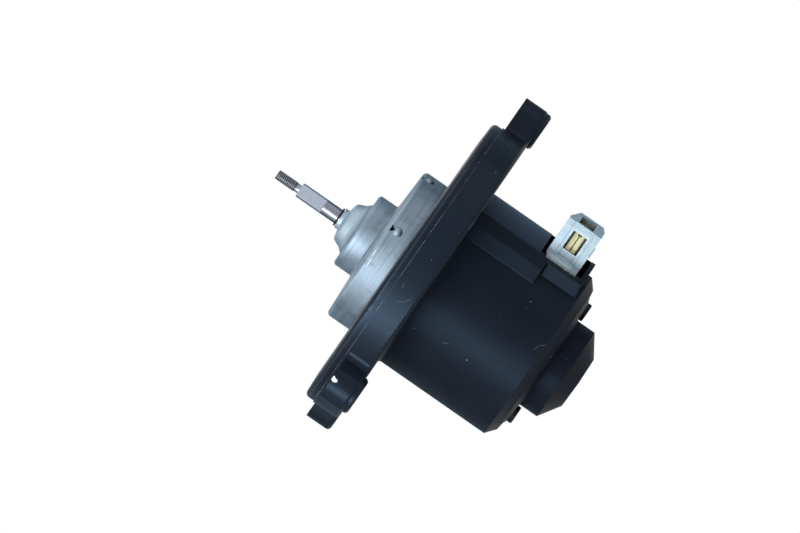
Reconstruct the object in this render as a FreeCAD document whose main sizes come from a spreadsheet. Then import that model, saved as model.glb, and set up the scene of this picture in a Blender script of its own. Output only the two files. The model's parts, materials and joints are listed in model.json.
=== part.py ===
import FreeCAD, Part
import math
import os
import re
import Sketcher

# Car cabin blower motor, in millimetres.
# +Z runs along the motor shaft, towards its threaded end. The origin is on the shaft's axis,
# in the seam between the flange and its cover. One mounting lug points along +Y.

SIZES = [
    ("cover_radius", 62.0, "outer radius of the flange cover, the spigot that centres the motor"),
    ("cover_height", 4.46, "front face of the cover above the seam"),
    ("cover_wall", 2.5, "wall of the cover"),
    ("cover_crown", 0.5, "drop of the cover's front face towards its rounded edge"),
    ("cover_crown_width", 9.0, "width of the crowned band at the cover's edge"),
    ("cover_edge", 2.0, "rounding of the cover's front edge"),
    ("rim_step", 0.5, "how far the rim stands out past the cover"),
    ("rim_depth", 11.3, "seam to the rear face of the flange"),
    ("rim_wall", 2.8, "wall of the flange's rim"),
    ("flange_wall", 2.5, "thickness of the flange's rear plate"),
    ("flange_edge", 1.7, "rounding of the flange's rear edge"),
    ("rib_count", 18, "stiffening ribs inside the flange"),
    ("rib_wall", 1.8, "thickness of a rib"),
    ("rib_drop", 1.0, "top of the ribs below the seam"),
    ("lug_offset", 6.9, "lug hole from the rim's edge"),
    ("lug_radius", 8.0, "round end of a lug"),
    ("lug_spread", 144.0, "angle from the first lug to each of the others"),
    ("lug_drop", 0.86, "lug face below the seam"),
    ("lug_fillet", 3.0, "hollow corner between a lug and the rim"),
    ("lug_hole_radius", 2.75, "screw hole in a lug"),
    ("boss_inset", 0.4, "how much smaller the boss behind a lug is than the lug"),
    ("boss_height", 1.6, "height of that boss"),
    ("boss_chamfer", 0.9, "bevel of that boss"),
    ("can_gap", 0.55, "gap between the can and the cup"),
    ("cup_wall", 2.5, "wall of the cup"),
    ("cup_depth", 63.9, "seam to the rear face of the cup"),
    ("cup_foot", 1.1, "hollow corner between the cup and the flange"),
    ("cup_bevel_width", 3.85, "width of the bevel round the cup's rear edge"),
    ("cup_bevel_height", 3.15, "height of that bevel"),
    ("cup_shoulder_width", 3.3, "flat shoulder inside the bevel"),
    ("cup_shoulder_drop", 0.55, "slope of the shoulder"),
    ("cup_step_width", 1.75, "small bevel round the rear face"),
    ("cup_step_height", 0.8, "height of the small bevel"),
    ("dome_gap", 0.65, "gap between the dome and a screw's head"),
    ("dome_side", 8.1, "straight side of the dome"),
    ("dome_cone_height", 5.55, "cone at the end of the dome"),
    ("dome_cone_width", 8.5, "width of that cone"),
    ("dome_crown", 0.35, "crown of that end face"),
    ("dome_foot", 0.9, "hollow corner at the dome's foot"),
    ("channel_angle", 68.5, "direction of the channel and the connector"),
    ("channel_rise", 4.75, "how far the channel stands out of the cup"),
    ("channel_half_width", 15.2, "half of the channel's width"),
    ("channel_wall", 2.2, "wall of the channel"),
    ("channel_setback", 6.15, "rear face of the cup to the rear end of the channel"),
    ("channel_end_wall", 1.7, "rear end wall of the channel"),
    ("pocket_front_gap", 1.5, "gap in front of the connector in its pocket"),
    ("pocket_rear_gap", 2.25, "gap behind the connector in its pocket"),
    ("pocket_wall", 1.2, "far side wall of the pocket, which is open at its near side"),
    ("pocket_sink", 0.4, "floor of the pocket below the cup's outside"),
    ("ledge_overlap", 4.3, "how far the long ledge runs beside the pocket"),
    ("ledge_sink", 3.4, "long ledge at the channel's wall, below the cup's crest"),
    ("ledge_reach", 22.6, "outer edge of the long ledge, across the channel"),
    ("ledge_fall", 3.55, "slope of the long ledge"),
    ("ledge_edge", 0.5, "rounding of a ledge's outer edge"),
    ("lip_gap", 0.38, "gap between the two ledges"),
    ("lip_overrun", 0.15, "how far the short ledge passes the channel's end"),
    ("lip_sink", 0.35, "short ledge at the channel's wall, below the cup's crest"),
    ("lip_reach", 17.3, "outer edge of the short ledge, across the channel"),
    ("lip_fall", 0.8, "slope of the short ledge"),
    ("can_radius", 32.5, "outside of the motor can"),
    ("can_wall", 1.8, "sheet of the can"),
    ("can_front", 14.63, "front shoulder of the can, above the seam"),
    ("can_setback", 7.4, "rear face of the cup to the rear edge of the can"),
    ("can_shoulder", 1.8, "rounding of the can's shoulder"),
    ("can_face_rise", 0.75, "rise of the can's face towards its collar"),
    ("collar_radius", 15.56, "raised collar on the can's face"),
    ("collar_height", 8.81, "front face of the collar above the can's shoulder"),
    ("collar_edge", 1.3, "rounding of the collar"),
    ("collar_foot", 0.75, "hollow corner at the collar's foot"),
    ("nose_wall", 1.85, "sheet of the nose round its bush"),
    ("nose_height", 6.0, "top of the bearing nose above the collar"),
    ("nose_tip_width", 1.4, "sloping ring at the tip of the nose"),
    ("nose_tip_drop", 0.9, "height of that ring"),
    ("nose_side", 1.9, "steep side of the nose above the collar"),
    ("nose_flare", 1.7, "flare at the root of the nose"),
    ("nose_tip_edge", 1.6, "rounding of the nose's tip"),
    ("nose_side_edge", 1.2, "hollow corner where the flare begins"),
    ("nose_foot", 1.1, "hollow corner at the foot of the flare"),
    ("nose_tube_foot", 0.4, "hollow corner at the foot of the nose's tube"),
    ("nose_tube_wall", 0.8, "wall of the short tube at the tip of the nose"),
    ("nose_tube_height", 1.5, "length of that tube"),
    ("nose_clearance", 0.4, "gap round the shaft in the nose"),
    ("dent_width", 3.2, "pierced dent that locates a magnet"),
    ("dent_drop", 1.43, "front end of a lower dent behind the can's shoulder"),
    ("dent_stagger", 1.0, "how much further forward the upper dents lie"),
    ("dent_depth", 1.1, "depth of a dent"),
    ("dent_point", 2.0, "length of a dent's pierced corner"),
    ("dent_swell", 3.1, "front end of a dent to the middle of its swelling"),
    ("magnet_thickness", 6.65, "thickness of the magnets"),
    ("magnet_arc", 125.0, "arc that each magnet spans"),
    ("magnet_direction", 125.0, "middle of the left magnet"),
    ("magnet_overhang", 4.0, "how far the magnets pass each end of the core"),
    ("clip_wall", 0.8, "spring steel of a magnet clip"),
    ("clip_length", 34.0, "length of a magnet clip"),
    ("clip_gap", 4.0, "angle by which a clip is narrower than the gap it fills"),
    ("air_gap", 0.6, "gap between the armature and the magnets"),
    ("head_clearance", 1.33, "front winding head to the can's face"),
    ("slot_count", 12, "slots in the armature core"),
    ("slot_radius", 2.6, "round bottom of a slot"),
    ("slot_mouth", 1.8, "opening of a slot"),
    ("slot_depth", 4.4, "middle of a slot below the core's outside"),
    ("head_length", 8.5, "winding head past the core"),
    ("head_setback", 1.9, "outside of a winding head below the core's outside"),
    ("head_inner_radius", 6.5, "inside of a winding head"),
    ("head_shoulder", 2.5, "width of the sloping shoulder of a winding head"),
    ("head_crown", 6.0, "outside of a winding head to its highest ring"),
    ("commutator_radius", 11.5, "outside of the commutator"),
    ("commutator_length", 13.0, "length of the commutator"),
    ("commutator_gap", 1.5, "winding head to commutator"),
    ("commutator_overlap", 0.6, "how far the commutator passes the brush card"),
    ("segment_gap", 0.6, "groove between two segments"),
    ("segment_depth", 1.0, "depth of that groove"),
    ("riser_height", 1.6, "hook ring at the front of the commutator"),
    ("riser_length", 2.4, "length of that ring"),
    ("shaft_radius", 3.0, "motor shaft"),
    ("shaft_reach", 28.66, "end of the shaft in front of the nose"),
    ("shaft_tail", 2.75, "end of the shaft behind the rear bush"),
    ("thread_radius", 2.0, "thread on the shaft's end"),
    ("thread_length", 8.26, "length of the thread"),
    ("thread_bevel", 0.6, "bevel at the end of the thread"),
    ("shaft_bevel", 0.3, "bevels beside the neck"),
    ("neck_cut", 0.3, "depth of the neck behind the thread"),
    ("neck_length", 1.88, "length of the neck"),
    ("flat_length", 11.0, "length of the milled flat"),
    ("flat_depth", 1.27, "depth of the milled flat"),
    ("flat_angle", -6.5, "direction that the flat faces"),
    ("slinger_wall", 0.75, "wall of the oil slinger on the shaft"),
    ("slinger_length", 0.7, "thickness of the oil slinger"),
    ("groove_depth", 0.2, "groove in the shaft that the slinger snaps into"),
    ("groove_gap", 0.2, "how much wider the groove is than the slinger, at each side"),
    ("running_gap", 0.02, "running clearance of a bearing"),
    ("bush_radius", 7.4, "middle of a bearing bush"),
    ("bush_crown", 1.0, "crown of a bearing bush"),
    ("bush_length", 7.5, "length of a bearing bush"),
    ("bush_seated", 3.375, "how much of the front bush stands in the nose"),
    ("bush_sunk", 0.75, "how far the rear bush lies behind the end plate"),
    ("seat_gap", 0.05, "fit between a piece and its seat"),
    ("retainer_wall", 0.5, "spring washer behind a bush"),
    ("washer_wall", 0.8, "thrust washer"),
    ("washer_radius", 5.6, "outside of a thrust washer"),
    ("end_plate_wall", 1.5, "sheet of the end plate"),
    ("card_wall", 1.6, "brush card"),
    ("card_gap", 2.7, "gap between the commutator and the brush card"),
    ("vent_radius", 4.0, "air holes in the end plate"),
    ("box_wall", 0.7, "sheet of a brush box"),
    ("brush_width", 6.0, "brush across its box"),
    ("brush_height", 6.4, "brush along the shaft"),
    ("brush_length", 9.0, "length of a brush"),
    ("brush_gap", 0.1, "clearance of a brush in its box"),
    ("box_stand", 3.1, "gap between the commutator and a brush box"),
    ("box_gap", 2.1, "outer end of a brush box to the can"),
    ("box_slot_width", 2.4, "slot in the top of a brush box"),
    ("box_slot_inset", 3.0, "slot to each end of the box"),
    ("spring_wire_radius", 0.4, "wire of a brush spring"),
    ("spring_radius", 2.0, "middle of a brush spring's coils"),
    ("spring_turns", 5, "coils of a brush spring"),
    ("screw_inset", 7.3, "motor screws from the inside of the can"),
    ("screw_radius", 2.0, "shank of a motor screw"),
    ("screw_head_radius", 3.65, "head of a motor screw"),
    ("screw_head_height", 1.7, "height of that head"),
    ("driver_reach", 2.0, "arm of the cross in a screw's head"),
    ("driver_width", 1.0, "width of that arm"),
    ("screw_gap", 0.3, "clearance round a screw's shank"),
    ("screw_boss_radius", 4.6, "boss inside the cup that a screw passes"),
    ("plug_width", 14.3, "connector along the shaft"),
    ("plug_half_depth", 8.0, "half of the connector across the channel"),
    ("plug_height", 17.8, "height of the connector above its foot"),
    ("plug_wall", 1.3, "outer wall of the connector"),
    ("plug_middle_wall", 1.2, "wall between its two cells"),
    ("plug_middle_drop", 2.6, "top of that wall below the mouth"),
    ("plug_floor", 3.2, "floor of its cells above its foot"),
    ("cell_gap", 0.6, "clearance of a receptacle in its cell"),
    ("plug_corner", 2.8, "slanted front corner at its back, along the shaft"),
    ("plug_corner_length", 12.0, "the same corner across, with half of both at the rear corner"),
    ("plug_toe", 1.2, "bevel along the front edge of its foot"),
    ("plug_recess", 0.6, "front panel behind the corner columns"),
    ("plug_column", 2.7, "width of a corner column"),
    ("window_foot", 2.8, "foot of the connector to its front window"),
    ("window_head", 3.4, "front window to the connector's mouth"),
    ("window_width", 6.0, "width of the front window"),
    ("nub_height", 0.4, "latch nub on the connector's side"),
    ("nub_start", 5.8, "mouth of the connector to the nub"),
    ("nub_length", 3.5, "length of the nub"),
    ("nub_width", 4.0, "width of the nub"),
    ("nub_inset", 2.0, "front of the connector to the nub"),
    ("terminal_width", 5.1, "width of a brass receptacle"),
    ("terminal_depth", 2.5, "height of its rolled sides"),
    ("terminal_sheet", 0.4, "sheet of a receptacle"),
    ("terminal_seam", 0.5, "gap between its rolled sides"),
    ("terminal_notch", 1.0, "depth of the notch in its mouth"),
    ("terminal_foot", 6.3, "foot of the connector to a receptacle's neck"),
    ("terminal_sink", 1.0, "mouth of a receptacle below the connector's mouth"),
    ("terminal_neck", 3.2, "width of its neck"),
    ("lead_radius", 0.9, "insulated lead"),
    ("lead_gap", 0.45, "clearance of a lead in a hole"),
    ("lead_inset", 1.6, "leads on the brush card, inside the outer end of a box"),
    ("lead_bend", 2.2, "bend of a lead"),
]

document = FreeCAD.newDocument("BlowerMotor")
sheet = document.addObject("Spreadsheet::Sheet", "Sizes")
ALIASES = {alias for alias, value, meaning in SIZES}
for row, (alias, value, meaning) in enumerate(SIZES, start=1):
    sheet.set(f"A{row}", meaning)
    sheet.set(f"B{row}", str(value))
    sheet.setAlias(f"B{row}", alias)
document.recompute()

X = FreeCAD.Vector(1, 0, 0)
Y = FreeCAD.Vector(0, 1, 0)
Z = FreeCAD.Vector(0, 0, 1)
WHOLE_TURN = 360
OVERRUN = "1"
LUGS = ["90", "90 - lug_spread", "90 + lug_spread"]
BOSSED_LUGS = LUGS[:2]
SCREWS = ["90", "270"]
VENTS = ["0", "35", "145", "180", "215", "325"]

# Lengths that several pieces share, worked out from the sheet.
RIM_RADIUS = "(cover_radius + rim_step)"
LUG_REACH = f"({RIM_RADIUS} + lug_offset)"
BOSS_RADIUS = "(lug_radius - boss_inset)"
CAN_BORE = "(can_radius - can_wall)"
SCREW_REACH = f"({CAN_BORE} - screw_inset)"
CUP_BORE = "(can_radius + can_gap)"
CUP_RADIUS = f"({CUP_BORE} + cup_wall)"
BEVEL_RADIUS = f"({CUP_RADIUS} - cup_bevel_width)"
SHOULDER_RADIUS = f"({BEVEL_RADIUS} - cup_shoulder_width)"
FACE_RADIUS = f"({SHOULDER_RADIUS} - cup_step_width)"
SHOULDER_DEPTH = "(cup_depth - cup_step_height)"
BEVEL_DEPTH = f"({SHOULDER_DEPTH} - cup_shoulder_drop)"
BEVEL_START = f"({BEVEL_DEPTH} - cup_bevel_height)"
CUP_FLOOR = "(cup_depth - cup_wall)"
DOME_RADIUS = f"({SCREW_REACH} - screw_head_radius - dome_gap)"
DOME_END_RADIUS = f"({DOME_RADIUS} - dome_cone_width)"
DOME_CONE = "(cup_depth + dome_side)"
DOME_END = f"({DOME_CONE} + dome_cone_height)"
CHANNEL_RADIUS = f"({CUP_RADIUS} + channel_rise)"
CHANNEL_DEPTH = "(cup_depth - channel_setback)"
POCKET_END = f"({CHANNEL_DEPTH} - channel_end_wall)"
PLUG_END = f"({POCKET_END} - pocket_rear_gap)"
PLUG_START = f"({PLUG_END} - plug_width)"
PLUG_MIDDLE = f"({PLUG_END} - plug_width / 2)"
POCKET_START = f"({PLUG_START} - pocket_front_gap)"
POCKET_FLOOR = f"({CUP_RADIUS} - pocket_sink)"
PLUG_BASE = f"({POCKET_FLOOR} + seat_gap)"
PLUG_MOUTH = f"({PLUG_BASE} + plug_height)"
LEDGE_END = f"({POCKET_START} + ledge_overlap)"
COLLAR_TOP = "(can_front + collar_height)"
COLLAR_BORE = "(collar_radius - can_wall)"
COLLAR_INSIDE = f"({COLLAR_TOP} - can_wall)"
NOSE_BORE = "(bush_radius + seat_gap)"
NOSE_RADIUS = f"({NOSE_BORE} + nose_wall)"
NOSE_TOP = f"({COLLAR_TOP} + nose_height)"
NOSE_HOLE = "(shaft_radius + nose_clearance)"
NOSE_TUBE_TOP = f"({NOSE_TOP} + nose_tube_height)"
FACE_INSIDE = "(can_front - can_wall)"
CAN_REAR = "(cup_depth - can_setback)"
BUSH_TOP = f"({COLLAR_INSIDE} + bush_seated)"
BUSH_FOOT = f"({BUSH_TOP} - bush_length)"
PLATE_INSIDE = f"({CAN_REAR} - end_plate_wall)"
SEAT_BORE = "(bush_radius + seat_gap)"
REAR_BUSH_TOP = f"({CAN_REAR} + end_plate_wall + bush_sunk)"
REAR_BUSH_FOOT = f"({REAR_BUSH_TOP} + bush_length)"
SEAT_END = f"({REAR_BUSH_FOOT} + seat_gap + end_plate_wall)"
SHAFT_BORE = "(shaft_radius + running_gap)"
CARD_TOP = f"({PLATE_INSIDE} - card_wall)"
COMMUTATOR_REAR = f"({CARD_TOP} + commutator_overlap)"
COMMUTATOR_FRONT = f"({COMMUTATOR_REAR} - commutator_length)"
HEAD_REAR = f"({COMMUTATOR_FRONT} - commutator_gap)"
CORE_REAR = f"({HEAD_REAR} - head_length)"
CORE_FRONT = f"({FACE_INSIDE} - head_clearance - head_length)"
MAGNET_RADIUS = f"({CAN_BORE} - seat_gap - magnet_thickness)"
CORE_RADIUS = f"({MAGNET_RADIUS} - air_gap)"
SLOT_CENTRE = f"({CORE_RADIUS} - slot_depth)"
HEAD_RADIUS = f"({CORE_RADIUS} - head_setback)"
BOX_START = "(commutator_radius + box_stand)"
BOX_END = f"({CAN_BORE} - box_gap)"
BOX_HALF_WIDTH = "(brush_width / 2 + brush_gap + box_wall)"
BOX_HEIGHT = "(brush_height + 2 * brush_gap + 2 * box_wall)"
BRUSH_LOW = f"({CARD_TOP} - box_wall - brush_gap)"
BRUSH_MIDDLE = f"({BRUSH_LOW} - brush_height / 2)"
BRUSH_TIP = "(commutator_radius + seat_gap)"
BRUSH_BACK = f"({BRUSH_TIP} + brush_length)"
TERMINAL_LOW = f"({PLUG_BASE} + terminal_foot)"
TERMINAL_HIGH = f"({PLUG_MOUTH} - terminal_sink)"
TERMINAL_FACE = "(plug_half_depth - plug_recess - plug_wall - seat_gap)"
LEAD_ACROSS = f"({TERMINAL_FACE} - terminal_depth / 2)"
LEAD_LEVEL = f"({CARD_TOP} - lead_radius - seat_gap)"
LEAD_ROOM = "(lead_radius + lead_gap)"
SLINGER_LOW = f"({NOSE_TUBE_TOP} + groove_gap)"
SLINGER_HIGH = f"({SLINGER_LOW} + slinger_length)"
GROOVE_RADIUS = "(shaft_radius - groove_depth)"
SHAFT_TIP = f"({NOSE_TUBE_TOP} + shaft_reach)"
SHAFT_REAR = f"({REAR_BUSH_FOOT} + shaft_tail)"
THREAD_END = f"({SHAFT_TIP} - thread_length)"
NECK_RADIUS = "(thread_radius - neck_cut)"
NECK_END = f"({THREAD_END} - neck_length)"
FLAT_END = f"({NECK_END} - flat_length)"


def bound(text):
    """The expression with every size's name pointing at the sheet."""
    return re.sub(r"[a-z_]+", lambda word: "Sizes." + word[0] if word[0] in ALIASES else word[0], text)


def value(text):
    """The present value of an expression."""
    return float(sheet.evalExpression(text))


def tie(part, **sizes):
    for word, text in sizes.items():
        part.setExpression(word, bound(text))


def place(part, along="0", across="0", up="0", turn="0"):
    """Puts a part at a place given in a frame that is turned about the shaft."""
    part.setExpression(".Placement.Base.x", bound(f"({along}) * cos({turn}) - ({across}) * sin({turn})"))
    part.setExpression(".Placement.Base.y", bound(f"({along}) * sin({turn}) + ({across}) * cos({turn})"))
    part.setExpression(".Placement.Base.z", bound(up))
    if turn != "0":
        part.Placement = FreeCAD.Placement(FreeCAD.Vector(), FreeCAD.Rotation(Z, value(turn)))
        part.setExpression(".Placement.Rotation.Angle", bound(turn))


def cylinder(name, radius, low, high, along="0", across="0", turn="0"):
    part = document.addObject("Part::Cylinder", name)
    tie(part, Radius=radius, Height=f"({high}) - ({low})")
    place(part, along, across, low, turn)
    return part


def block(name, along, across, up, turn="0"):
    """A box between two distances along, across and up."""
    part = document.addObject("Part::Box", name)
    tie(part, Length=f"({along[1]}) - ({along[0]})", Width=f"({across[1]}) - ({across[0]})",
        Height=f"({up[1]}) - ({up[0]})")
    place(part, along[0], across[0], up[0], turn)
    return part


def cut(name, base, *tools):
    part = document.addObject("Part::Cut", name)
    part.Base = base
    part.Tool = tools[0] if len(tools) == 1 else fuse(name + "Tools", *tools)
    return part


def fuse(name, *shapes):
    part = document.addObject("Part::MultiFuse", name)
    part.Shapes = list(shapes)
    part.Refine = True
    return part


def common(name, *shapes):
    part = document.addObject("Part::MultiCommon", name)
    part.Shapes = list(shapes)
    return part


class Outline:
    """A closed sketch outline bound to the sheet. A corner is (x, y) or (x, y, rounding)."""

    def __init__(self, body, name, plane):
        self.body = body
        self.sketch = body.newObject("Sketcher::SketchObject", name)
        origin_plane = [item for item in body.Origin.OriginFeatures if item.Role == plane][0]
        self.sketch.AttachmentSupport = [(origin_plane, "")]
        self.sketch.MapMode = "FlatFace"

    def bind(self, kind, *where):
        text = where[-1]
        row = self.sketch.addConstraint(Sketcher.Constraint(kind, *where[:-1], value(text)))
        self.sketch.setExpression(f"Constraints[{row}]", bound(text))

    def pin(self, shape, end, x, y):
        """Ties a point to its distances from the sketch's origin."""
        for kind, text, axis in (("DistanceX", x, -2), ("DistanceY", y, -1)):
            if text == "0":
                self.sketch.addConstraint(Sketcher.Constraint("PointOnObject", shape, end, axis))
            else:
                self.bind(kind, -1, 1, shape, end, text)

    def polygon(self, *corners):
        places = [FreeCAD.Vector(value(corner[0]), value(corner[1]), 0) for corner in corners]
        count = len(corners)
        starts = list(places)
        ends = list(places)
        arcs = {}
        for row, corner in enumerate(corners):
            if len(corner) == 3:
                towards_last = (places[row - 1] - places[row]).normalize()
                towards_next = (places[(row + 1) % count] - places[row]).normalize()
                half = towards_last.getAngle(towards_next) / 2
                radius = value(corner[2])
                middle = (towards_last + towards_next).normalize()
                starts[row] = places[row] + towards_next * (radius / math.tan(half))
                ends[row] = places[row] + towards_last * (radius / math.tan(half))
                centre = places[row] + middle * (radius / math.sin(half))
                arcs[row] = (centre, places[row] + middle * (radius / math.sin(half) - radius))
        lines = [self.sketch.addGeometry(Part.LineSegment(starts[row], ends[(row + 1) % count]))
                 for row in range(count)]
        for row, corner in enumerate(corners):
            before, after = lines[row - 1], lines[row]
            if row not in arcs:
                self.sketch.addConstraint(Sketcher.Constraint("Coincident", before, 2, after, 1))
                self.pin(after, 1, corner[0], corner[1])
                continue
            centre, middle = arcs[row]
            curve = Part.Arc(ends[row], middle, starts[row])
            arc = self.sketch.addGeometry(curve)
            left_turn = (ends[row] - centre).cross(starts[row] - centre).z > 0
            first, last = (1, 2) if left_turn else (2, 1)
            self.sketch.addConstraint(Sketcher.Constraint("Tangent", before, 2, arc, first))
            self.sketch.addConstraint(Sketcher.Constraint("Tangent", after, 1, arc, last))
            self.bind("Radius", arc, corner[2])
            corner_point = self.sketch.addGeometry(Part.Point(places[row]), True)
            self.sketch.addConstraint(Sketcher.Constraint("PointOnObject", corner_point, 1, before))
            self.sketch.addConstraint(Sketcher.Constraint("PointOnObject", corner_point, 1, after))
            self.pin(corner_point, 1, corner[0], corner[1])


def turned(name, *corners):
    """A solid of revolution about the shaft, from an outline of (radius, height) corners."""
    body = document.addObject("PartDesign::Body", name)
    outline = Outline(body, name + "Outline", "XZ_Plane")
    outline.polygon(*corners)
    revolution = body.newObject("PartDesign::Revolution", name + "Turned")
    revolution.Profile = outline.sketch
    revolution.ReferenceAxis = (outline.sketch, ["V_Axis"])
    revolution.Angle = WHOLE_TURN
    return body


def extruded(name, low, high, *corners, turn="0", plane="XY_Plane"):
    """A prism on an outline: up the shaft, outwards from it on YZ_Plane, or across on XZ_Plane."""
    body = document.addObject("PartDesign::Body", name)
    outline = Outline(body, name + "Outline", plane)
    outline.polygon(*corners)
    pad = body.newObject("PartDesign::Pad", name + "Pad")
    pad.Profile = outline.sketch
    tie(pad, Length=f"({high}) - ({low})")
    starts = {"XY_Plane": {"up": low}, "YZ_Plane": {"along": low}, "XZ_Plane": {"across": high}}
    place(body, turn=turn, **starts[plane])
    return body


def rounded(name, base, radius, wanted):
    """Rounds the edges of a part that a test of the edge picks out."""
    document.recompute()
    size = value(radius)
    part = document.addObject("Part::Fillet", name)
    part.Base = base
    part.Edges = [(row, size, size) for row, edge in enumerate(base.Shape.Edges, start=1) if wanted(edge)]
    return part


def named(part, label):
    """Marks a finished sub-part, which goes into a file of its own."""
    part.Label = label
    FINISHED.append(part)
    return part


FINISHED = []


# Housing: the black moulding that the motor drops into.
def flange_body():
    rim = RIM_RADIUS
    pieces = [cylinder("FlangeDisc", rim, "-rim_depth", "0")]
    for row, angle in enumerate(LUGS):
        neck = block(f"LugNeck{row}", (CUP_BORE, LUG_REACH), ("-lug_radius", "lug_radius"),
                     ("-rim_depth", "-lug_drop"), turn=angle)
        end = cylinder(f"LugEnd{row}", "lug_radius", "-rim_depth", "-lug_drop", along=LUG_REACH, turn=angle)
        pieces += [neck, end]
    plate = fuse("FlangePlate", *pieces)
    rim_radius, low, drop = value(rim), -value("rim_depth"), -value("lug_drop")

    def is_lug_root(edge):
        """An upright edge on the rim, at the side of a lug."""
        ends = [vertex.Point for vertex in edge.Vertexes]
        if len(ends) != 2 or abs(ends[0].z - ends[1].z) < abs(drop - low) / 2:
            return False
        if abs(math.hypot(ends[0].x, ends[0].y) - rim_radius) > 0.01:
            return False
        sides = [abs(FreeCAD.Rotation(Z, -value(angle)).multVec(ends[0]).y) for angle in LUGS]
        return any(abs(side - value("lug_radius")) < 0.01 for side in sides)

    rooted = rounded("FlangeRoots", plate, "lug_fillet", is_lug_root)

    def is_rear_edge(edge):
        box = edge.BoundBox
        return abs(box.ZMin - low) < 0.001 and abs(box.ZMax - low) < 0.001 and box.DiagonalLength > 0.5

    return rounded("FlangeRearEdge", rooted, "flange_edge", is_rear_edge)


def cup_body():
    return turned(
        "CupOutside",
        ("0", "0"),
        (f"{CUP_RADIUS} + 2 * cup_foot", "0"),
        (f"{CUP_RADIUS} + 2 * cup_foot", "-rim_depth"),
        (CUP_RADIUS, "-rim_depth", "cup_foot"),
        (CUP_RADIUS, f"-{BEVEL_START}"),
        (BEVEL_RADIUS, f"-{BEVEL_DEPTH}"),
        (SHOULDER_RADIUS, f"-{SHOULDER_DEPTH}"),
        (FACE_RADIUS, "-cup_depth"),
        (DOME_RADIUS, "-cup_depth", "dome_foot"),
        (DOME_RADIUS, f"-{DOME_CONE}"),
        (DOME_END_RADIUS, f"-{DOME_END}"),
        ("0", f"-({DOME_END} + dome_crown)"),
    )


def cup_bore():
    """The cup's inside. Beside a bevel its corners stand back from the outside's by a share of the wall."""
    along, beside, inwards = (f"{share} * cup_wall" for share in (0.4, 0.8, 0.6))
    return turned(
        "CupBore",
        ("0", "cup_wall"),
        (CUP_BORE, "cup_wall"),
        (CUP_BORE, f"-({BEVEL_START} - {along})"),
        (f"{BEVEL_RADIUS} - {inwards}", f"-({BEVEL_DEPTH} - {beside})"),
        (FACE_RADIUS, f"-{CUP_FLOOR}"),
        (f"{DOME_RADIUS} - cup_wall", f"-{CUP_FLOOR}"),
        (f"{DOME_RADIUS} - cup_wall", f"-({DOME_CONE} - {along})"),
        (f"{DOME_END_RADIUS} - {along}", f"-({DOME_END} - cup_wall)"),
        ("0", f"-({DOME_END} + dome_crown - cup_wall)"),
    )


def sector(name, radius, half_width, low, high):
    """The part of a round bar that lies within the channel's two side walls."""
    bar = cylinder(name + "Bar", radius, low, high)
    slab = block(name + "Slab", (f"{CUP_RADIUS} / 2", f"2 * {CUP_RADIUS}"), (f"-({half_width})", half_width),
                 (low, high), turn="channel_angle")
    return common(name, bar, slab)


def ledge(name, low, high, top, reach, fall):
    """A shelf along the foot of the channel's side wall."""
    return extruded(
        name, f"-({high})", f"-({low})",
        (f"{CUP_RADIUS} / 2", "-channel_half_width / 2"),
        (f"{CUP_RADIUS} / 2", f"-{reach}"),
        (f"{top} - {fall}", f"-{reach}", "ledge_edge"),
        (top, "-channel_half_width"),
        (top, "-channel_half_width / 2"),
        turn="channel_angle",
    )


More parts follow.
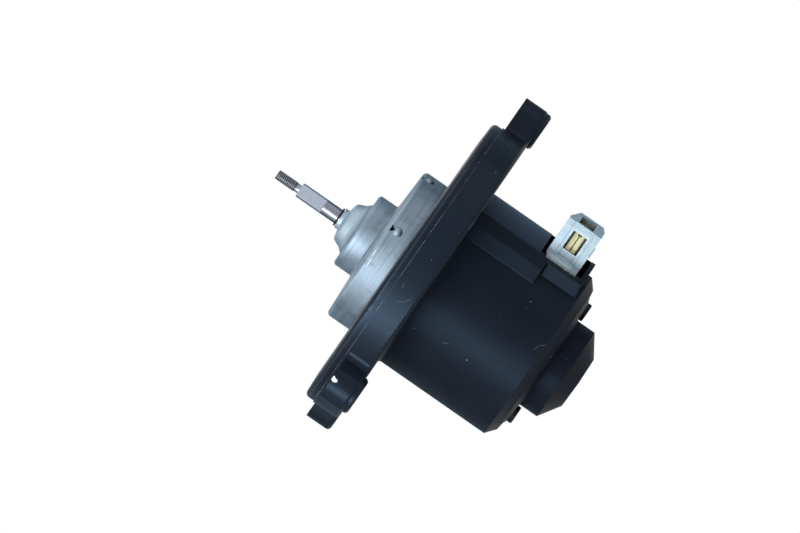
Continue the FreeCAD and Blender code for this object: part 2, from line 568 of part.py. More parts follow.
def make_housing():
    inside = f"{RIM_RADIUS} - rim_wall"
    flange = flange_body()
    recess = cut("FlangeRecess",
                 cylinder("RecessOutside", inside, f"-(rim_depth - flange_wall)", "cover_wall"),
                 cylinder("RecessInside", CUP_RADIUS, "-cup_depth", "cup_depth"))
    dish = cut("FlangeDish", flange, recess)
    channel = sector("Channel", CHANNEL_RADIUS, "channel_half_width", f"-{CHANNEL_DEPTH}", "0")
    ledge_start = "(rim_depth - flange_wall / 2)"
    long_ledge = ledge("LongLedge", ledge_start, LEDGE_END,
                       f"({CUP_RADIUS} - ledge_sink)", "ledge_reach", "ledge_fall")
    short_ledge = ledge("ShortLedge", f"({LEDGE_END} + lip_gap)", f"({CHANNEL_DEPTH} + lip_overrun)",
                        f"({CUP_RADIUS} - lip_sink)", "lip_reach", "lip_fall")
    pieces = [dish, cup_body(), channel, long_ledge, short_ledge]
    for row in range(int(value("rib_count"))):
        rib = block(f"Rib{row}", (f"{CUP_RADIUS} - cup_wall / 2", f"{inside} + rim_wall / 2"),
                    ("-rib_wall / 2", "rib_wall / 2"), ("-(rim_depth - flange_wall / 2)", "-rib_drop"),
                    turn=f"{row} * {WHOLE_TURN} / rib_count")
        pieces.append(rib)
    holes = [
        cup_bore(),
        sector("ChannelDuct", f"{CHANNEL_RADIUS} - channel_wall", "channel_half_width - channel_wall",
               f"-({POCKET_START} - channel_end_wall)", "cover_wall"),
        block("LeadHole", (f"{CUP_RADIUS} / 2", f"2 * {CUP_RADIUS}"), (f"-({LEAD_ACROSS} + {LEAD_ROOM})",
              f"{LEAD_ACROSS} + {LEAD_ROOM}"), (f"-({LEAD_LEVEL} + {LEAD_ROOM})",
              f"-({PLUG_MIDDLE} - {LEAD_ROOM})"), turn="channel_angle"),
        block("Pocket", (POCKET_FLOOR, f"2 * {CUP_RADIUS}"),
              (f"-(channel_half_width + {OVERRUN})", "channel_half_width - pocket_wall"),
              (f"-({CHANNEL_DEPTH} - channel_end_wall)", f"-{POCKET_START}"), turn="channel_angle"),
    ]
    for row, angle in enumerate(LUGS):
        holes.append(cylinder(f"LugHole{row}", "lug_hole_radius", "-2 * (rim_depth + boss_height)",
                              "cover_height", along=LUG_REACH, turn=angle))
    bosses = [lug_boss(row, angle) for row, angle in enumerate(BOSSED_LUGS)]
    shell = cut("HousingShell", fuse("HousingSolid", *pieces, *bosses), *holes)
    floor = f"-({CUP_FLOOR} + cup_wall / 2)"
    stands = [cylinder(f"ScrewStand{row}", "screw_boss_radius", floor, f"-{CAN_REAR}",
                       along=SCREW_REACH, turn=angle) for row, angle in enumerate(SCREWS)]
    bores = [cylinder(f"ScrewBore{row}", "screw_radius + screw_gap", "-2 * cup_depth", "-rim_depth",
                      along=SCREW_REACH, turn=angle) for row, angle in enumerate(SCREWS)]
    return named(cut("Housing", fuse("HousingWithStands", shell, *stands), *bores), "housing")


def lug_boss(row, angle):
    boss = turned(
        f"LugBoss{row}",
        ("0", "-rim_depth + flange_wall"),
        (BOSS_RADIUS, "-rim_depth + flange_wall"),
        (BOSS_RADIUS, "-(rim_depth + boss_height - boss_chamfer)"),
        (f"{BOSS_RADIUS} - boss_chamfer", "-(rim_depth + boss_height)"),
        ("0", "-(rim_depth + boss_height)"),
    )
    place(boss, along=LUG_REACH, turn=angle)
    return boss


# Flange cover: the front ring that closes the hollow flange and centres the motor.
def make_cover():
    ring = turned(
        "CoverRing",
        (CUP_BORE, "0"),
        (CUP_RADIUS, "0"),
        (CUP_RADIUS, "cover_height - cover_wall"),
        ("cover_radius - cover_wall", "cover_height - cover_wall"),
        ("cover_radius - cover_wall", "0"),
        ("cover_radius", "0"),
        ("cover_radius", "cover_height - cover_crown", "cover_edge"),
        ("cover_radius - cover_crown_width", "cover_height"),
        (CUP_BORE, "cover_height"),
    )
    inlet = sector("CoverInlet", f"{CHANNEL_RADIUS} - channel_wall", "channel_half_width - channel_wall",
                   "-cover_wall", "2 * cover_height")
    return named(cut("FlangeCover", ring, inlet), "flange_cover")


# Motor can: drawn steel, with the bearing nose in its front and the magnets inside.
def make_can():
    shell = turned(
        "CanShell",
        (NOSE_HOLE, NOSE_TUBE_TOP),
        (f"({NOSE_HOLE} + nose_tube_wall)", NOSE_TUBE_TOP),
        (f"({NOSE_HOLE} + nose_tube_wall)", NOSE_TOP, "nose_tube_foot"),
        (f"{NOSE_RADIUS} - nose_tip_width", f"{NOSE_TOP} - nose_tip_drop", "nose_tip_edge"),
        (NOSE_RADIUS, f"{COLLAR_TOP} + nose_side", "nose_side_edge"),
        (f"{NOSE_RADIUS} + nose_flare", COLLAR_TOP, "nose_foot"),
        ("collar_radius", COLLAR_TOP, "collar_edge"),
        ("collar_radius", "can_front + can_face_rise", "collar_foot"),
        ("can_radius", "can_front", "can_shoulder"),
        ("can_radius", f"-{CAN_REAR}"),
        (CAN_BORE, f"-{CAN_REAR}"),
        (CAN_BORE, FACE_INSIDE, "can_shoulder / 2"),
        (COLLAR_BORE, f"{FACE_INSIDE} + can_face_rise / 2"),
        (COLLAR_BORE, COLLAR_INSIDE),
        (NOSE_BORE, COLLAR_INSIDE),
        (NOSE_BORE, BUSH_TOP),
        (NOSE_HOLE, f"{BUSH_TOP} + can_wall"),
    )
    notches = []
    bulges = []
    for row, (angle, forward) in enumerate(DENTS):
        top = f"(can_front - dent_drop) + {forward} * dent_stagger"
        notches.append(dent_notch(row, angle, top))
        bulges.append(dent_bulge(row, angle, top))
    outlet = block("LeadOutlet", (f"{CAN_BORE} - can_wall", "2 * can_radius"),
                   ("-channel_half_width / 2", "channel_half_width / 2"),
                   (f"-{CAN_REAR} - can_wall", f"-({LEAD_LEVEL} - {LEAD_ROOM})"), turn="channel_angle")
    return named(cut("MotorCan", fuse("CanWithBulges", shell, *bulges), *notches, outlet), "motor_can")


# The dents lie at the ends of the magnets, two in front of each gap between them.
GAP_HALF = "((180 - magnet_arc) / 2)"
DENTS = [
    (f"magnet_direction - 90 - {GAP_HALF}", 0),
    (f"magnet_direction - 90 + {GAP_HALF}", 1),
    (f"magnet_direction + 90 - {GAP_HALF}", 0),
    (f"magnet_direction + 90 + {GAP_HALF}", 1),
]


def dent_notch(row, angle, top):
    """The dark pierced corner at the front of a dent."""
    return extruded(
        f"DentNotch{row}", f"{CAN_BORE} - can_wall", "can_radius + dent_depth",
        ("-dent_width / 2", top),
        ("dent_width / 2", top),
        ("0", f"{top} - dent_point"),
        turn=angle, plane="YZ_Plane",
    )


def dent_bulge(row, angle, top):
    """The rounded swelling behind that corner."""
    ball = document.addObject("Part::Sphere", f"DentBulge{row}")
    tie(ball, Radius="(dent_width + dent_depth) / 2")
    place(ball, "can_radius - dent_depth", "0", f"{top} - dent_swell", angle)
    return ball


# Bearings: crowned sintered bushes, each held in its seat by a spring washer.
def make_bush(name, low, high, label):
    bush = turned(
        name,
        (SHAFT_BORE, low),
        ("bush_radius - bush_crown", low),
        ("bush_radius", f"({low}) + bush_crown"),
        ("bush_radius", f"({high}) - bush_crown"),
        ("bush_radius - bush_crown", high),
        (SHAFT_BORE, high),
    )
    return named(bush, label)


def make_bearings():
    make_bush("FrontBush", BUSH_FOOT, BUSH_TOP, "front_bearing")
    make_bush("RearBush", f"-{REAR_BUSH_FOOT}", f"-{REAR_BUSH_TOP}", "rear_bearing")
    front_low = f"{COLLAR_INSIDE} - seat_gap - 2 * retainer_wall"
    front = turned(
        "FrontRetainer",
        (NOSE_BORE, f"{front_low} + retainer_wall"),
        (NOSE_BORE, front_low),
        (f"{COLLAR_BORE} - seat_gap", front_low),
        (f"{COLLAR_BORE} - seat_gap", f"{front_low} + 2 * retainer_wall"),
        (f"{COLLAR_BORE} - seat_gap - retainer_wall", f"{front_low} + 2 * retainer_wall"),
        (f"{COLLAR_BORE} - seat_gap - retainer_wall", f"{front_low} + retainer_wall"),
    )
    named(front, "front_retainer")
    rear = cut("RearRetainer",
               cylinder("RearRetainerDisc", f"{SEAT_BORE} - seat_gap", f"-{REAR_BUSH_TOP} + seat_gap",
                        f"-{REAR_BUSH_TOP} + seat_gap + retainer_wall"),
               cylinder("RearRetainerHole", "washer_radius + seat_gap", f"-2 * {CAN_REAR}", "0"))
    named(rear, "rear_retainer")


# End plate: closes the can and carries the rear bush in a drawn seat.
def make_end_plate():
    plate = turned(
        "PlateSheet",
        (SEAT_BORE, f"-{PLATE_INSIDE}"),
        (f"{CAN_BORE} - seat_gap", f"-{PLATE_INSIDE}"),
        (f"{CAN_BORE} - seat_gap", f"-{CAN_REAR}"),
        (f"{SEAT_BORE} + end_plate_wall", f"-{CAN_REAR}", "1"),
        (f"{SEAT_BORE} + end_plate_wall", f"-{SEAT_END}"),
        (NOSE_HOLE, f"-{SEAT_END}"),
        (NOSE_HOLE, f"-({SEAT_END} - end_plate_wall)"),
        (SEAT_BORE, f"-({SEAT_END} - end_plate_wall)"),
    )
    holes = [cylinder(f"PlateThread{row}", "screw_radius + seat_gap", f"-2 * {CAN_REAR}", "0",
                      along=SCREW_REACH, turn=angle) for row, angle in enumerate(SCREWS)]
    vents = [cylinder(f"PlateVent{row}", "vent_radius", f"-2 * {CAN_REAR}", "0", along=SCREW_REACH,
                      turn=angle) for row, angle in enumerate(VENTS)]
    return named(cut("EndPlate", plate, *holes, *vents), "end_plate")


# Magnets and the spring clips that hold them apart.
def make_magnets():
    high = f"({CORE_FRONT} + magnet_overhang)"
    low = f"(-{CORE_REAR} - magnet_overhang)"
    for side, turn in (("left", "magnet_direction"), ("right", "magnet_direction + 180")):
        bar = document.addObject("Part::Cylinder", f"MagnetBar{side}")
        tie(bar, Radius=f"{CAN_BORE} - seat_gap", Height=f"{high} - {low}", Angle="magnet_arc")
        place(bar, up=low, turn=f"{turn} - magnet_arc / 2")
        hole = cylinder(f"MagnetHole{side}", MAGNET_RADIUS, f"{low} - {OVERRUN}", f"{high} + {OVERRUN}")
        named(cut(f"Magnet{side}", bar, hole), f"magnet_{side}")
    clips = []
    for row, turn in enumerate(("magnet_direction - 90", "magnet_direction + 90")):
        middle = f"({high} + {low}) / 2"
        arc = document.addObject("Part::Cylinder", f"ClipArc{row}")
        span = "(180 - magnet_arc - clip_gap)"
        tie(arc, Radius=f"{CAN_BORE} - seat_gap", Height="clip_length", Angle=span)
        place(arc, up=f"{middle} - clip_length / 2", turn=f"{turn} - {span} / 2")
        bore = cylinder(f"ClipBore{row}", f"{CAN_BORE} - seat_gap - clip_wall", f"-{CAN_REAR}", "can_front")
        clips.append(cut(f"Clip{row}", arc, bore))
    named(compound("MagnetSprings", *clips), "magnet_springs")


def compound(name, *shapes):
    part = document.addObject("Part::Compound", name)
    part.Links = list(shapes)
    return part


# Shaft: ground steel with a thread, a neck and a milled flat for the fan wheel.
def make_shaft():
    bar = turned(
        "ShaftBar",
        ("0", f"-{SHAFT_REAR}"),
        ("shaft_radius - thread_bevel", f"-{SHAFT_REAR}"),
        ("shaft_radius", f"-{SHAFT_REAR} + thread_bevel"),
        ("shaft_radius", f"{SLINGER_LOW} - groove_gap"),
        (GROOVE_RADIUS, f"{SLINGER_LOW} - groove_gap"),
        (GROOVE_RADIUS, f"{SLINGER_HIGH} + groove_gap"),
        ("shaft_radius", f"{SLINGER_HIGH} + groove_gap"),
        ("shaft_radius", f"{NECK_END} - shaft_bevel"),
        ("shaft_radius - shaft_bevel", NECK_END),
        (NECK_RADIUS, NECK_END),
        (NECK_RADIUS, f"{THREAD_END} - shaft_bevel"),
        ("thread_radius", THREAD_END),
        ("thread_radius", f"{SHAFT_TIP} - thread_bevel"),
        ("thread_radius - thread_bevel", SHAFT_TIP),
        ("0", SHAFT_TIP),
    )
    flat = block("ShaftFlat", ("shaft_radius - flat_depth", "2 * shaft_radius"),
                 ("-2 * shaft_radius", "2 * shaft_radius"), (FLAT_END, f"{NECK_END} + neck_length / 2"),
                 turn="flat_angle")
    return named(cut("Shaft", bar, flat), "shaft")


def sleeve(name, outer, inner, low, high):
    return cut(name, cylinder(name + "Outside", outer, low, high),
               cylinder(name + "Inside", inner, f"({low}) - {OVERRUN}", f"({high}) + {OVERRUN}"))


def make_shaft_rings():
    ring = sleeve("OilSlinger", "shaft_radius + slinger_wall", GROOVE_RADIUS, SLINGER_LOW, SLINGER_HIGH)
    named(ring, "oil_slinger")
    front = sleeve("FrontWasher", "washer_radius", "shaft_radius", f"{BUSH_FOOT} - seat_gap - washer_wall",
                   f"{BUSH_FOOT} - seat_gap")
    rear = sleeve("RearWasher", "washer_radius", "shaft_radius", f"-{REAR_BUSH_TOP} + seat_gap",
                  f"-{REAR_BUSH_TOP} + seat_gap + washer_wall")
    named(compound("ThrustWashers", front, rear), "thrust_washers")


# Armature: a slotted stack, with coils in its slots and a head of winding at each end.
def make_armature():
    stack = sleeve("CoreStack", CORE_RADIUS, "shaft_radius", f"-{CORE_REAR}", CORE_FRONT)
    low, high = f"-({CORE_REAR} + {OVERRUN})", f"{CORE_FRONT} + {OVERRUN}"
    slots = []
    coils = []
    for row in range(int(value("slot_count"))):
        turn = f"{row} * {WHOLE_TURN} / slot_count"
        slots.append(cylinder(f"Slot{row}", "slot_radius", low, high, along=SLOT_CENTRE, turn=turn))
        slots.append(block(f"SlotMouth{row}", (SLOT_CENTRE, MAGNET_RADIUS),
                           ("-slot_mouth / 2", "slot_mouth / 2"), (low, high), turn=turn))
        coil = cylinder(f"Coil{row}", "slot_radius - seat_gap", low, high, along=SLOT_CENTRE, turn=turn)
        coils.append(coil)
    named(cut("ArmatureCore", stack, *slots), "armature_core")
    heads = [winding_head("FrontHead", f"{CORE_FRONT} + 2 * seat_gap", f"{CORE_FRONT} + head_length"),
             winding_head("RearHead", f"-({CORE_REAR} + 2 * seat_gap)", f"-{HEAD_REAR}")]
    named(fuse("ArmatureWindings", *heads, *coils), "armature_windings")


def winding_head(name, near, far):
    """A crowned ring of wire past one end of the stack."""
    return turned(
        name,
        ("head_inner_radius", near),
        (HEAD_RADIUS, near),
        (HEAD_RADIUS, f"0.6 * ({near}) + 0.4 * ({far})"),
        (f"{HEAD_RADIUS} - head_shoulder", f"0.1 * ({near}) + 0.9 * ({far})"),
        (f"{HEAD_RADIUS} - head_crown", far),
        ("head_inner_radius + head_shoulder", far),
        ("head_inner_radius", f"0.3 * ({near}) + 0.7 * ({far})"),
    )


def make_commutator():
    drum = turned(
        "CommutatorDrum",
        ("shaft_radius", f"-{COMMUTATOR_FRONT}"),
        ("commutator_radius + riser_height", f"-{COMMUTATOR_FRONT}"),
        ("commutator_radius + riser_height", f"-({COMMUTATOR_FRONT} + riser_length)"),
        ("commutator_radius", f"-({COMMUTATOR_FRONT} + riser_length)"),
        ("commutator_radius", f"-{COMMUTATOR_REAR}"),
        ("shaft_radius", f"-{COMMUTATOR_REAR}"),
    )
    grooves = [block(f"SegmentGap{row}", ("commutator_radius - segment_depth", "2 * commutator_radius"),
                     ("-segment_gap / 2", "segment_gap / 2"), (f"-2 * {COMMUTATOR_REAR}", "0"),
                     turn=f"({row} + 0.5) * {WHOLE_TURN} / slot_count")
               for row in range(int(value("slot_count")))]
    named(cut("Commutator", drum, *grooves), "commutator")


# Brush gear: a card on the end plate, with two boxes, two brushes and their springs.
def make_brush_gear():
    disc = sleeve("CardDisc", f"{CAN_BORE} - 2 * seat_gap", "commutator_radius + card_gap",
                  f"-{PLATE_INSIDE}", f"-{CARD_TOP}")
    low, high = f"-{PLATE_INSIDE} - {OVERRUN}", f"-{CARD_TOP} + {OVERRUN}"
    holes = [cylinder(f"CardHole{row}", "screw_radius + screw_gap", low, high, along=SCREW_REACH, turn=angle)
             for row, angle in enumerate(SCREWS)]
    relief = block("CardRelief", (f"{CAN_BORE} - 3 * lead_radius", "can_radius"),
                   ("-channel_half_width / 2", "channel_half_width / 2"), (low, high), turn="channel_angle")
    named(cut("BrushCard", disc, *holes, relief), "brush_card")
    for side, turn in (("left", "magnet_direction"), ("right", "magnet_direction + 180")):
        make_brush_box(side, turn)
        make_brush(side, turn)
        make_brush_spring(side, turn)


def make_brush_box(side, turn):
    outside = block(f"BoxOutside{side}", (BOX_START, BOX_END), (f"-{BOX_HALF_WIDTH}", BOX_HALF_WIDTH),
                    (f"-{CARD_TOP}", f"-{CARD_TOP} + {BOX_HEIGHT}"), turn=turn)
    half = "(brush_width / 2 + brush_gap)"
    inside = block(f"BoxInside{side}", (f"{BOX_START} - {OVERRUN}", f"{BOX_END} - box_wall"),
                   (f"-{half}", half),
                   (f"-{CARD_TOP} + box_wall", f"-{CARD_TOP} + {BOX_HEIGHT} - box_wall"), turn=turn)
    slot = block(f"BoxSlot{side}", (f"{BOX_START} + box_slot_inset", f"{BOX_END} - box_slot_inset"),
                 ("-box_slot_width / 2", "box_slot_width / 2"),
                 (f"-{CARD_TOP} + box_wall", f"-{CARD_TOP} + 2 * {BOX_HEIGHT}"), turn=turn)
    named(cut(f"BrushBox{side}", outside, inside, slot), f"brush_box_{side}")


def make_brush(side, turn):
    carbon = block(f"Carbon{side}", ("commutator_radius / 2", BRUSH_BACK),
                   ("-brush_width / 2", "brush_width / 2"), (f"-{BRUSH_LOW}", f"-{BRUSH_LOW} + brush_height"),
                   turn=turn)
    face = cylinder(f"BrushFace{side}", BRUSH_TIP, f"-2 * {CAN_REAR}", CAN_REAR)
    named(cut(f"Brush{side}", carbon, face), f"brush_{side}")


def make_brush_spring(side, turn):
    """A helix of wire between the brush and the outer end of its box."""
    start = f"({BRUSH_BACK} + spring_wire_radius + seat_gap)"
    end = f"({BOX_END} - box_wall - spring_wire_radius - seat_gap)"
    helix = document.addObject("Part::Helix", f"SpringHelix{side}")
    tie(helix, Radius="spring_radius", Height=f"{end} - {start}", Pitch=f"({end} - {start}) / spring_turns")
    wire = document.addObject("Part::Circle", f"SpringWire{side}")
    tie(wire, Radius="spring_wire_radius")
    wire.Placement = FreeCAD.Placement(FreeCAD.Vector(), FreeCAD.Rotation(X, 90))
    wire.setExpression(".Placement.Base.x", bound("spring_radius"))
    coil = document.addObject("Part::Sweep", f"BrushSpring{side}")
    coil.Sections = [wire]
    coil.Spine = (helix, ["Edge1"])
    coil.Solid = True
    coil.Frenet = True
    lay_outwards(coil, start, "0", f"-{BRUSH_MIDDLE}", turn)
    named(coil, f"brush_spring_{side}")


def lay_outwards(part, along, across, up, turn):
    """Turns a part so that its own axis points away from the shaft."""
    place(part, along, across, up)
    outwards = FreeCAD.Rotation(Z, value(turn)) * FreeCAD.Rotation(Y, 90)
    part.Placement = FreeCAD.Placement(FreeCAD.Vector(), outwards)
    part.setExpression(".Placement.Base.x", bound(f"({along}) * cos({turn}) - ({across}) * sin({turn})"))
    part.setExpression(".Placement.Base.y", bound(f"({along}) * sin({turn}) + ({across}) * cos({turn})"))


# Motor screws: they clamp the end plate to the cup's rear face.
def make_screws():
    screws = []
    for row, angle in enumerate(SCREWS):
        screw = turned(
            f"Screw{row}",
            ("0", "-(cup_depth + screw_head_height)"),
            ("0.3 * screw_head_radius", "-(cup_depth + screw_head_height)"),
            ("screw_head_radius", "-(cup_depth + screw_head_height)", "0.35 * screw_head_height"),
            ("screw_head_radius", "-cup_depth"),
            ("screw_radius", "-cup_depth"),
            ("screw_radius", f"-({CARD_TOP} + seat_gap)"),
            ("0", f"-({CARD_TOP} + seat_gap)"),
        )
        place(screw, along=SCREW_REACH, turn=angle)
        cross = [block(f"Driver{row}{arm}", (f"{SCREW_REACH} - {along}", f"{SCREW_REACH} + {along}"),
                       (f"-{across}", across), ("-(cup_depth + 2 * screw_head_height)",
                       "-(cup_depth + screw_head_height / 3)"), turn=angle)
                 for arm, (along, across) in enumerate((("driver_reach", "driver_width / 2"),
                                                        ("driver_width / 2", "driver_reach")))]
        screws.append(cut(f"DrivenScrew{row}", screw, *cross))
    named(compound("MotorScrews", *screws), "motor_screws")


# Connector: a white two-way housing that stands in the channel's pocket.
def plug_block(name, along, across, up):
    return block(name, along, across, up, turn="channel_angle")


def plug_corner(name, end, share):
    """A slanted corner at the connector's back: a share of the full slant, less than 0 at the rear."""
    slant = f"({share} * plug_corner)"
    length = f"({abs(share)} * plug_corner_length)"
    return extruded(
        name, f"{PLUG_BASE} - {OVERRUN}", f"{PLUG_MOUTH} + {OVERRUN}",
        (f"plug_half_depth - {length}", end),
        ("plug_half_depth", f"{end} - {slant}"),
        ("2 * plug_half_depth", f"{end} - {slant}"),
        ("2 * plug_half_depth", f"{end} + {slant}"),
        (f"plug_half_depth - {length}", f"{end} + {slant}"),
        turn="channel_angle", plane="YZ_Plane",
    )


def make_connector():
    front = "-plug_half_depth"
    outside = plug_block("PlugOutside", (PLUG_BASE, PLUG_MOUTH), (front, "plug_half_depth"),
                         (f"-{PLUG_END}", f"-{PLUG_START}"))
    nub = plug_block("PlugNub", (f"{PLUG_MOUTH} - nub_start - nub_length", f"{PLUG_MOUTH} - nub_start"),
                     (f"{front} + nub_inset", f"{front} + nub_inset + nub_width"),
                     (f"-{PLUG_END} - nub_height", f"-{PLUG_END} + plug_wall / 2"))
    corners = [plug_corner("PlugCornerFront", f"-{PLUG_START}", 1),
               plug_corner("PlugCornerRear", f"-{PLUG_END}", -0.5)]
    toe = extruded("PlugToe", f"2 * {front}", "2 * plug_half_depth",
                   (PLUG_BASE, f"-{PLUG_START} - plug_toe"),
                   (f"{PLUG_BASE} + 2 * plug_toe", f"-{PLUG_START}"),
                   (f"{PLUG_BASE} + 2 * plug_toe", f"-{PLUG_START} + plug_toe"),
                   (f"{PLUG_BASE} - plug_toe", f"-{PLUG_START} + plug_toe"),
                   (f"{PLUG_BASE} - plug_toe", f"-{PLUG_START} - plug_toe"),
                   turn="channel_angle", plane="XZ_Plane")
    panel = plug_block("PlugPanel", (f"{PLUG_BASE} + plug_wall", f"2 * {PLUG_MOUTH}"),
                       (f"2 * {front}", f"{front} + plug_recess"),
                       (f"-{PLUG_END} + plug_column", f"-{PLUG_START} - plug_column"))
    sides = (f"-{PLUG_MIDDLE} - window_width / 2", f"-{PLUG_MIDDLE} + window_width / 2")
    window = plug_block("PlugWindow", (TERMINAL_LOW, f"({PLUG_MOUTH} - window_head)"),
                        (f"2 * {front}", f"{front} + plug_recess + plug_wall + seat_gap"), sides)
    sill = plug_block("PlugSill", (f"({PLUG_BASE} + window_foot)", f"({PLUG_MOUTH} - window_head)"),
                      (f"2 * {front}", f"{front} + plug_recess + plug_wall / 2"), sides)
    half = "(terminal_width / 2 + cell_gap)"
    cell_end = "(plug_half_depth - plug_recess - plug_wall)"
    holes = [plug_block("PlugMouthRoom", (f"{PLUG_MOUTH} - plug_middle_drop", f"2 * {PLUG_MOUTH}"),
                        (f"-{cell_end}", cell_end), (f"-{PLUG_MIDDLE} - {half}", f"-{PLUG_MIDDLE} + {half}"))]
    for row, side in enumerate((-1, 1)):
        lead = f"{side} * {LEAD_ACROSS}"
        across = ("plug_middle_wall / 2", cell_end) if side > 0 else (f"-{cell_end}", "-plug_middle_wall / 2")
        holes.append(plug_block(f"PlugCell{row}", (f"{PLUG_BASE} + plug_floor", f"2 * {PLUG_MOUTH}"), across,
                                (f"-{PLUG_MIDDLE} - {half}", f"-{PLUG_MIDDLE} + {half}")))
        holes.append(plug_block(f"PlugLeadHole{row}",
                                (f"{PLUG_BASE} - {OVERRUN}", f"{PLUG_BASE} + plug_floor + {OVERRUN}"),
                                (f"{lead} - {LEAD_ROOM}", f"{lead} + {LEAD_ROOM}"),
                                (f"-{PLUG_MIDDLE} - {LEAD_ROOM}", f"-{PLUG_MIDDLE} + {LEAD_ROOM}")))
    body = fuse("PlugBody", outside, nub)
    named(cut("ConnectorHousing", body, panel, window, sill, toe, *corners, *holes), "connector_housing")


# Terminals: brass receptacles with rolled sides, a neck and a crimped foot for the lead.
def make_terminal(label, side):
    def across(depth):
        return f"{side} * ({TERMINAL_FACE} - ({depth}))"

    low = f"-{PLUG_MIDDLE} - terminal_width / 2"
    high = f"-{PLUG_MIDDLE} + terminal_width / 2"
    base = "terminal_depth - terminal_sheet"
    rolled = extruded(
        f"Rolled{label}", TERMINAL_LOW, TERMINAL_HIGH,
        (across("terminal_depth"), low),
        (across("0"), low, "2 * terminal_sheet"),
        (across("0"), f"-{PLUG_MIDDLE} - terminal_seam / 2"),
        (across("terminal_sheet"), f"-{PLUG_MIDDLE} - terminal_seam / 2"),
        (across("terminal_sheet"), f"{low} + terminal_sheet"),
        (across(base), f"{low} + terminal_sheet"),
        (across(base), f"{high} - terminal_sheet"),
        (across("terminal_sheet"), f"{high} - terminal_sheet"),
        (across("terminal_sheet"), f"-{PLUG_MIDDLE} + terminal_seam / 2"),
        (across("0"), f"-{PLUG_MIDDLE} + terminal_seam / 2"),
        (across("0"), high, "2 * terminal_sheet"),
        (across("terminal_depth"), high),
        turn="channel_angle", plane="YZ_Plane",
    )
    centre = across("terminal_depth / 2")
    notch = plug_block(f"TerminalNotch{label}", (f"{TERMINAL_HIGH} - terminal_notch", f"2 * {TERMINAL_HIGH}"),
                       (f"{centre} - terminal_depth", f"{centre} + terminal_depth"),
                       (f"-{PLUG_MIDDLE} - 2 * terminal_seam", f"-{PLUG_MIDDLE} + 2 * terminal_seam"))
    foot = plug_block(f"Crimp{label}", (f"{PLUG_BASE} + plug_floor", f"{TERMINAL_LOW} + terminal_sheet"),
                      (f"{centre} - 0.45 * terminal_depth", f"{centre} + 0.45 * terminal_depth"),
                      (f"-{PLUG_MIDDLE} - terminal_neck / 2", f"-{PLUG_MIDDLE} + terminal_neck / 2"))
    barrel = document.addObject("Part::Cylinder", f"CrimpBore{label}")
    tie(barrel, Radius="lead_radius", Height=TERMINAL_LOW)
    lay_outwards(barrel, f"{PLUG_BASE}", f"{side} * {LEAD_ACROSS}", f"-{PLUG_MIDDLE}", "channel_angle")
    body = fuse(f"TerminalBody{label}", rolled, foot)
    named(cut(f"Terminal{label}", body, notch, barrel), f"terminal_{label}")


# Leads: they leave the terminals' feet, pass into the can and run round the card to the brush boxes.
def tangent_path(points, bend):
    """Straight runs between the points, joined by arcs that are tangent to both."""
    edges = []
    last = points[0]
    for before, corner, after in zip(points, points[1:], points[2:]):
        back = (before - corner).normalize()
        on = (after - corner).normalize()
        half = back.getAngle(on) / 2
        shorter = min(before.distanceToPoint(corner), after.distanceToPoint(corner))
        cut_off = min(bend / math.tan(half), 0.45 * shorter)
        radius = cut_off * math.tan(half)
        middle = corner + (back + on).normalize() * (radius / math.sin(half) - radius)
        arc = Part.Arc(corner + back * cut_off, middle, corner + on * cut_off)
        edges.append(Part.LineSegment(last, corner + back * cut_off).toShape())
        edges.append(arc.toShape())
        last = corner + on * cut_off
    return edges, last


def lead_path(side, box_turn):
    """The lead's centre line, in the channel's own frame."""
    across = side * value(LEAD_ACROSS)
    level = -value(LEAD_LEVEL)
    ring = value(f"({BOX_END} - lead_inset)")
    bend = value("lead_bend")
    run = value(f"(can_radius + {PLUG_BASE}) / 2")
    top = value(f"{PLUG_BASE} + plug_floor + lead_radius")
    height = -value(PLUG_MIDDLE)
    turn_side = across + side * bend
    turn_along = math.sqrt((ring + bend) ** 2 - turn_side ** 2)
    points = [FreeCAD.Vector(*place) for place in (
        (top, across, height), (run, across, height), (run, across, level), (turn_along, across, level))]
    edges, last = tangent_path(points, bend)
    edges.append(Part.LineSegment(last, points[-1]).toShape())
    centre = FreeCAD.Vector(turn_along, turn_side, level)
    inwards = FreeCAD.Vector(-turn_along, -turn_side, 0).normalize()
    down = FreeCAD.Vector(0, -side, 0)
    middle = centre + (inwards + down).normalize() * bend
    joint = centre + inwards * bend
    edges.append(Part.Arc(points[-1], middle, joint).toShape())
    start_angle = math.atan2(turn_side, turn_along)
    clear = math.asin(value(f"{BOX_HALF_WIDTH} + 4 * seat_gap") / ring)
    end_angle = math.radians(value(box_turn) - value("channel_angle")) - side * clear
    angles = (start_angle, (start_angle + end_angle) / 2, end_angle)
    stops = [FreeCAD.Vector(ring * math.cos(angle), ring * math.sin(angle), level) for angle in angles]
    edges.append(Part.Arc(*stops).toShape())
    return Part.Wire(edges)


def make_lead(label, side, box_turn):
    path = lead_path(side, box_turn)
    first = path.Edges[0]
    circle = Part.Wire(Part.Circle(first.valueAt(first.FirstParameter), X, value("lead_radius")).toShape())
    tube = path.makePipeShell([circle], True, False)
    part = document.addObject("Part::Feature", f"Lead{label}")
    part.Shape = tube
    part.Placement = FreeCAD.Placement(FreeCAD.Vector(), FreeCAD.Rotation(Z, value("channel_angle")))
    named(part, f"lead_{label}")


def make_wiring():
    make_terminal("front", -1)
    make_terminal("back", 1)
    make_lead("front", -1, "magnet_direction - 180")
    make_lead("back", 1, "magnet_direction")


def make_all():
    make_housing()
    make_cover()
    make_can()
    make_bearings()
    make_end_plate()
    make_magnets()
    make_shaft()
    make_shaft_rings()
    make_armature()
    make_commutator()
    make_brush_gear()
    make_screws()
    make_connector()
    make_wiring()


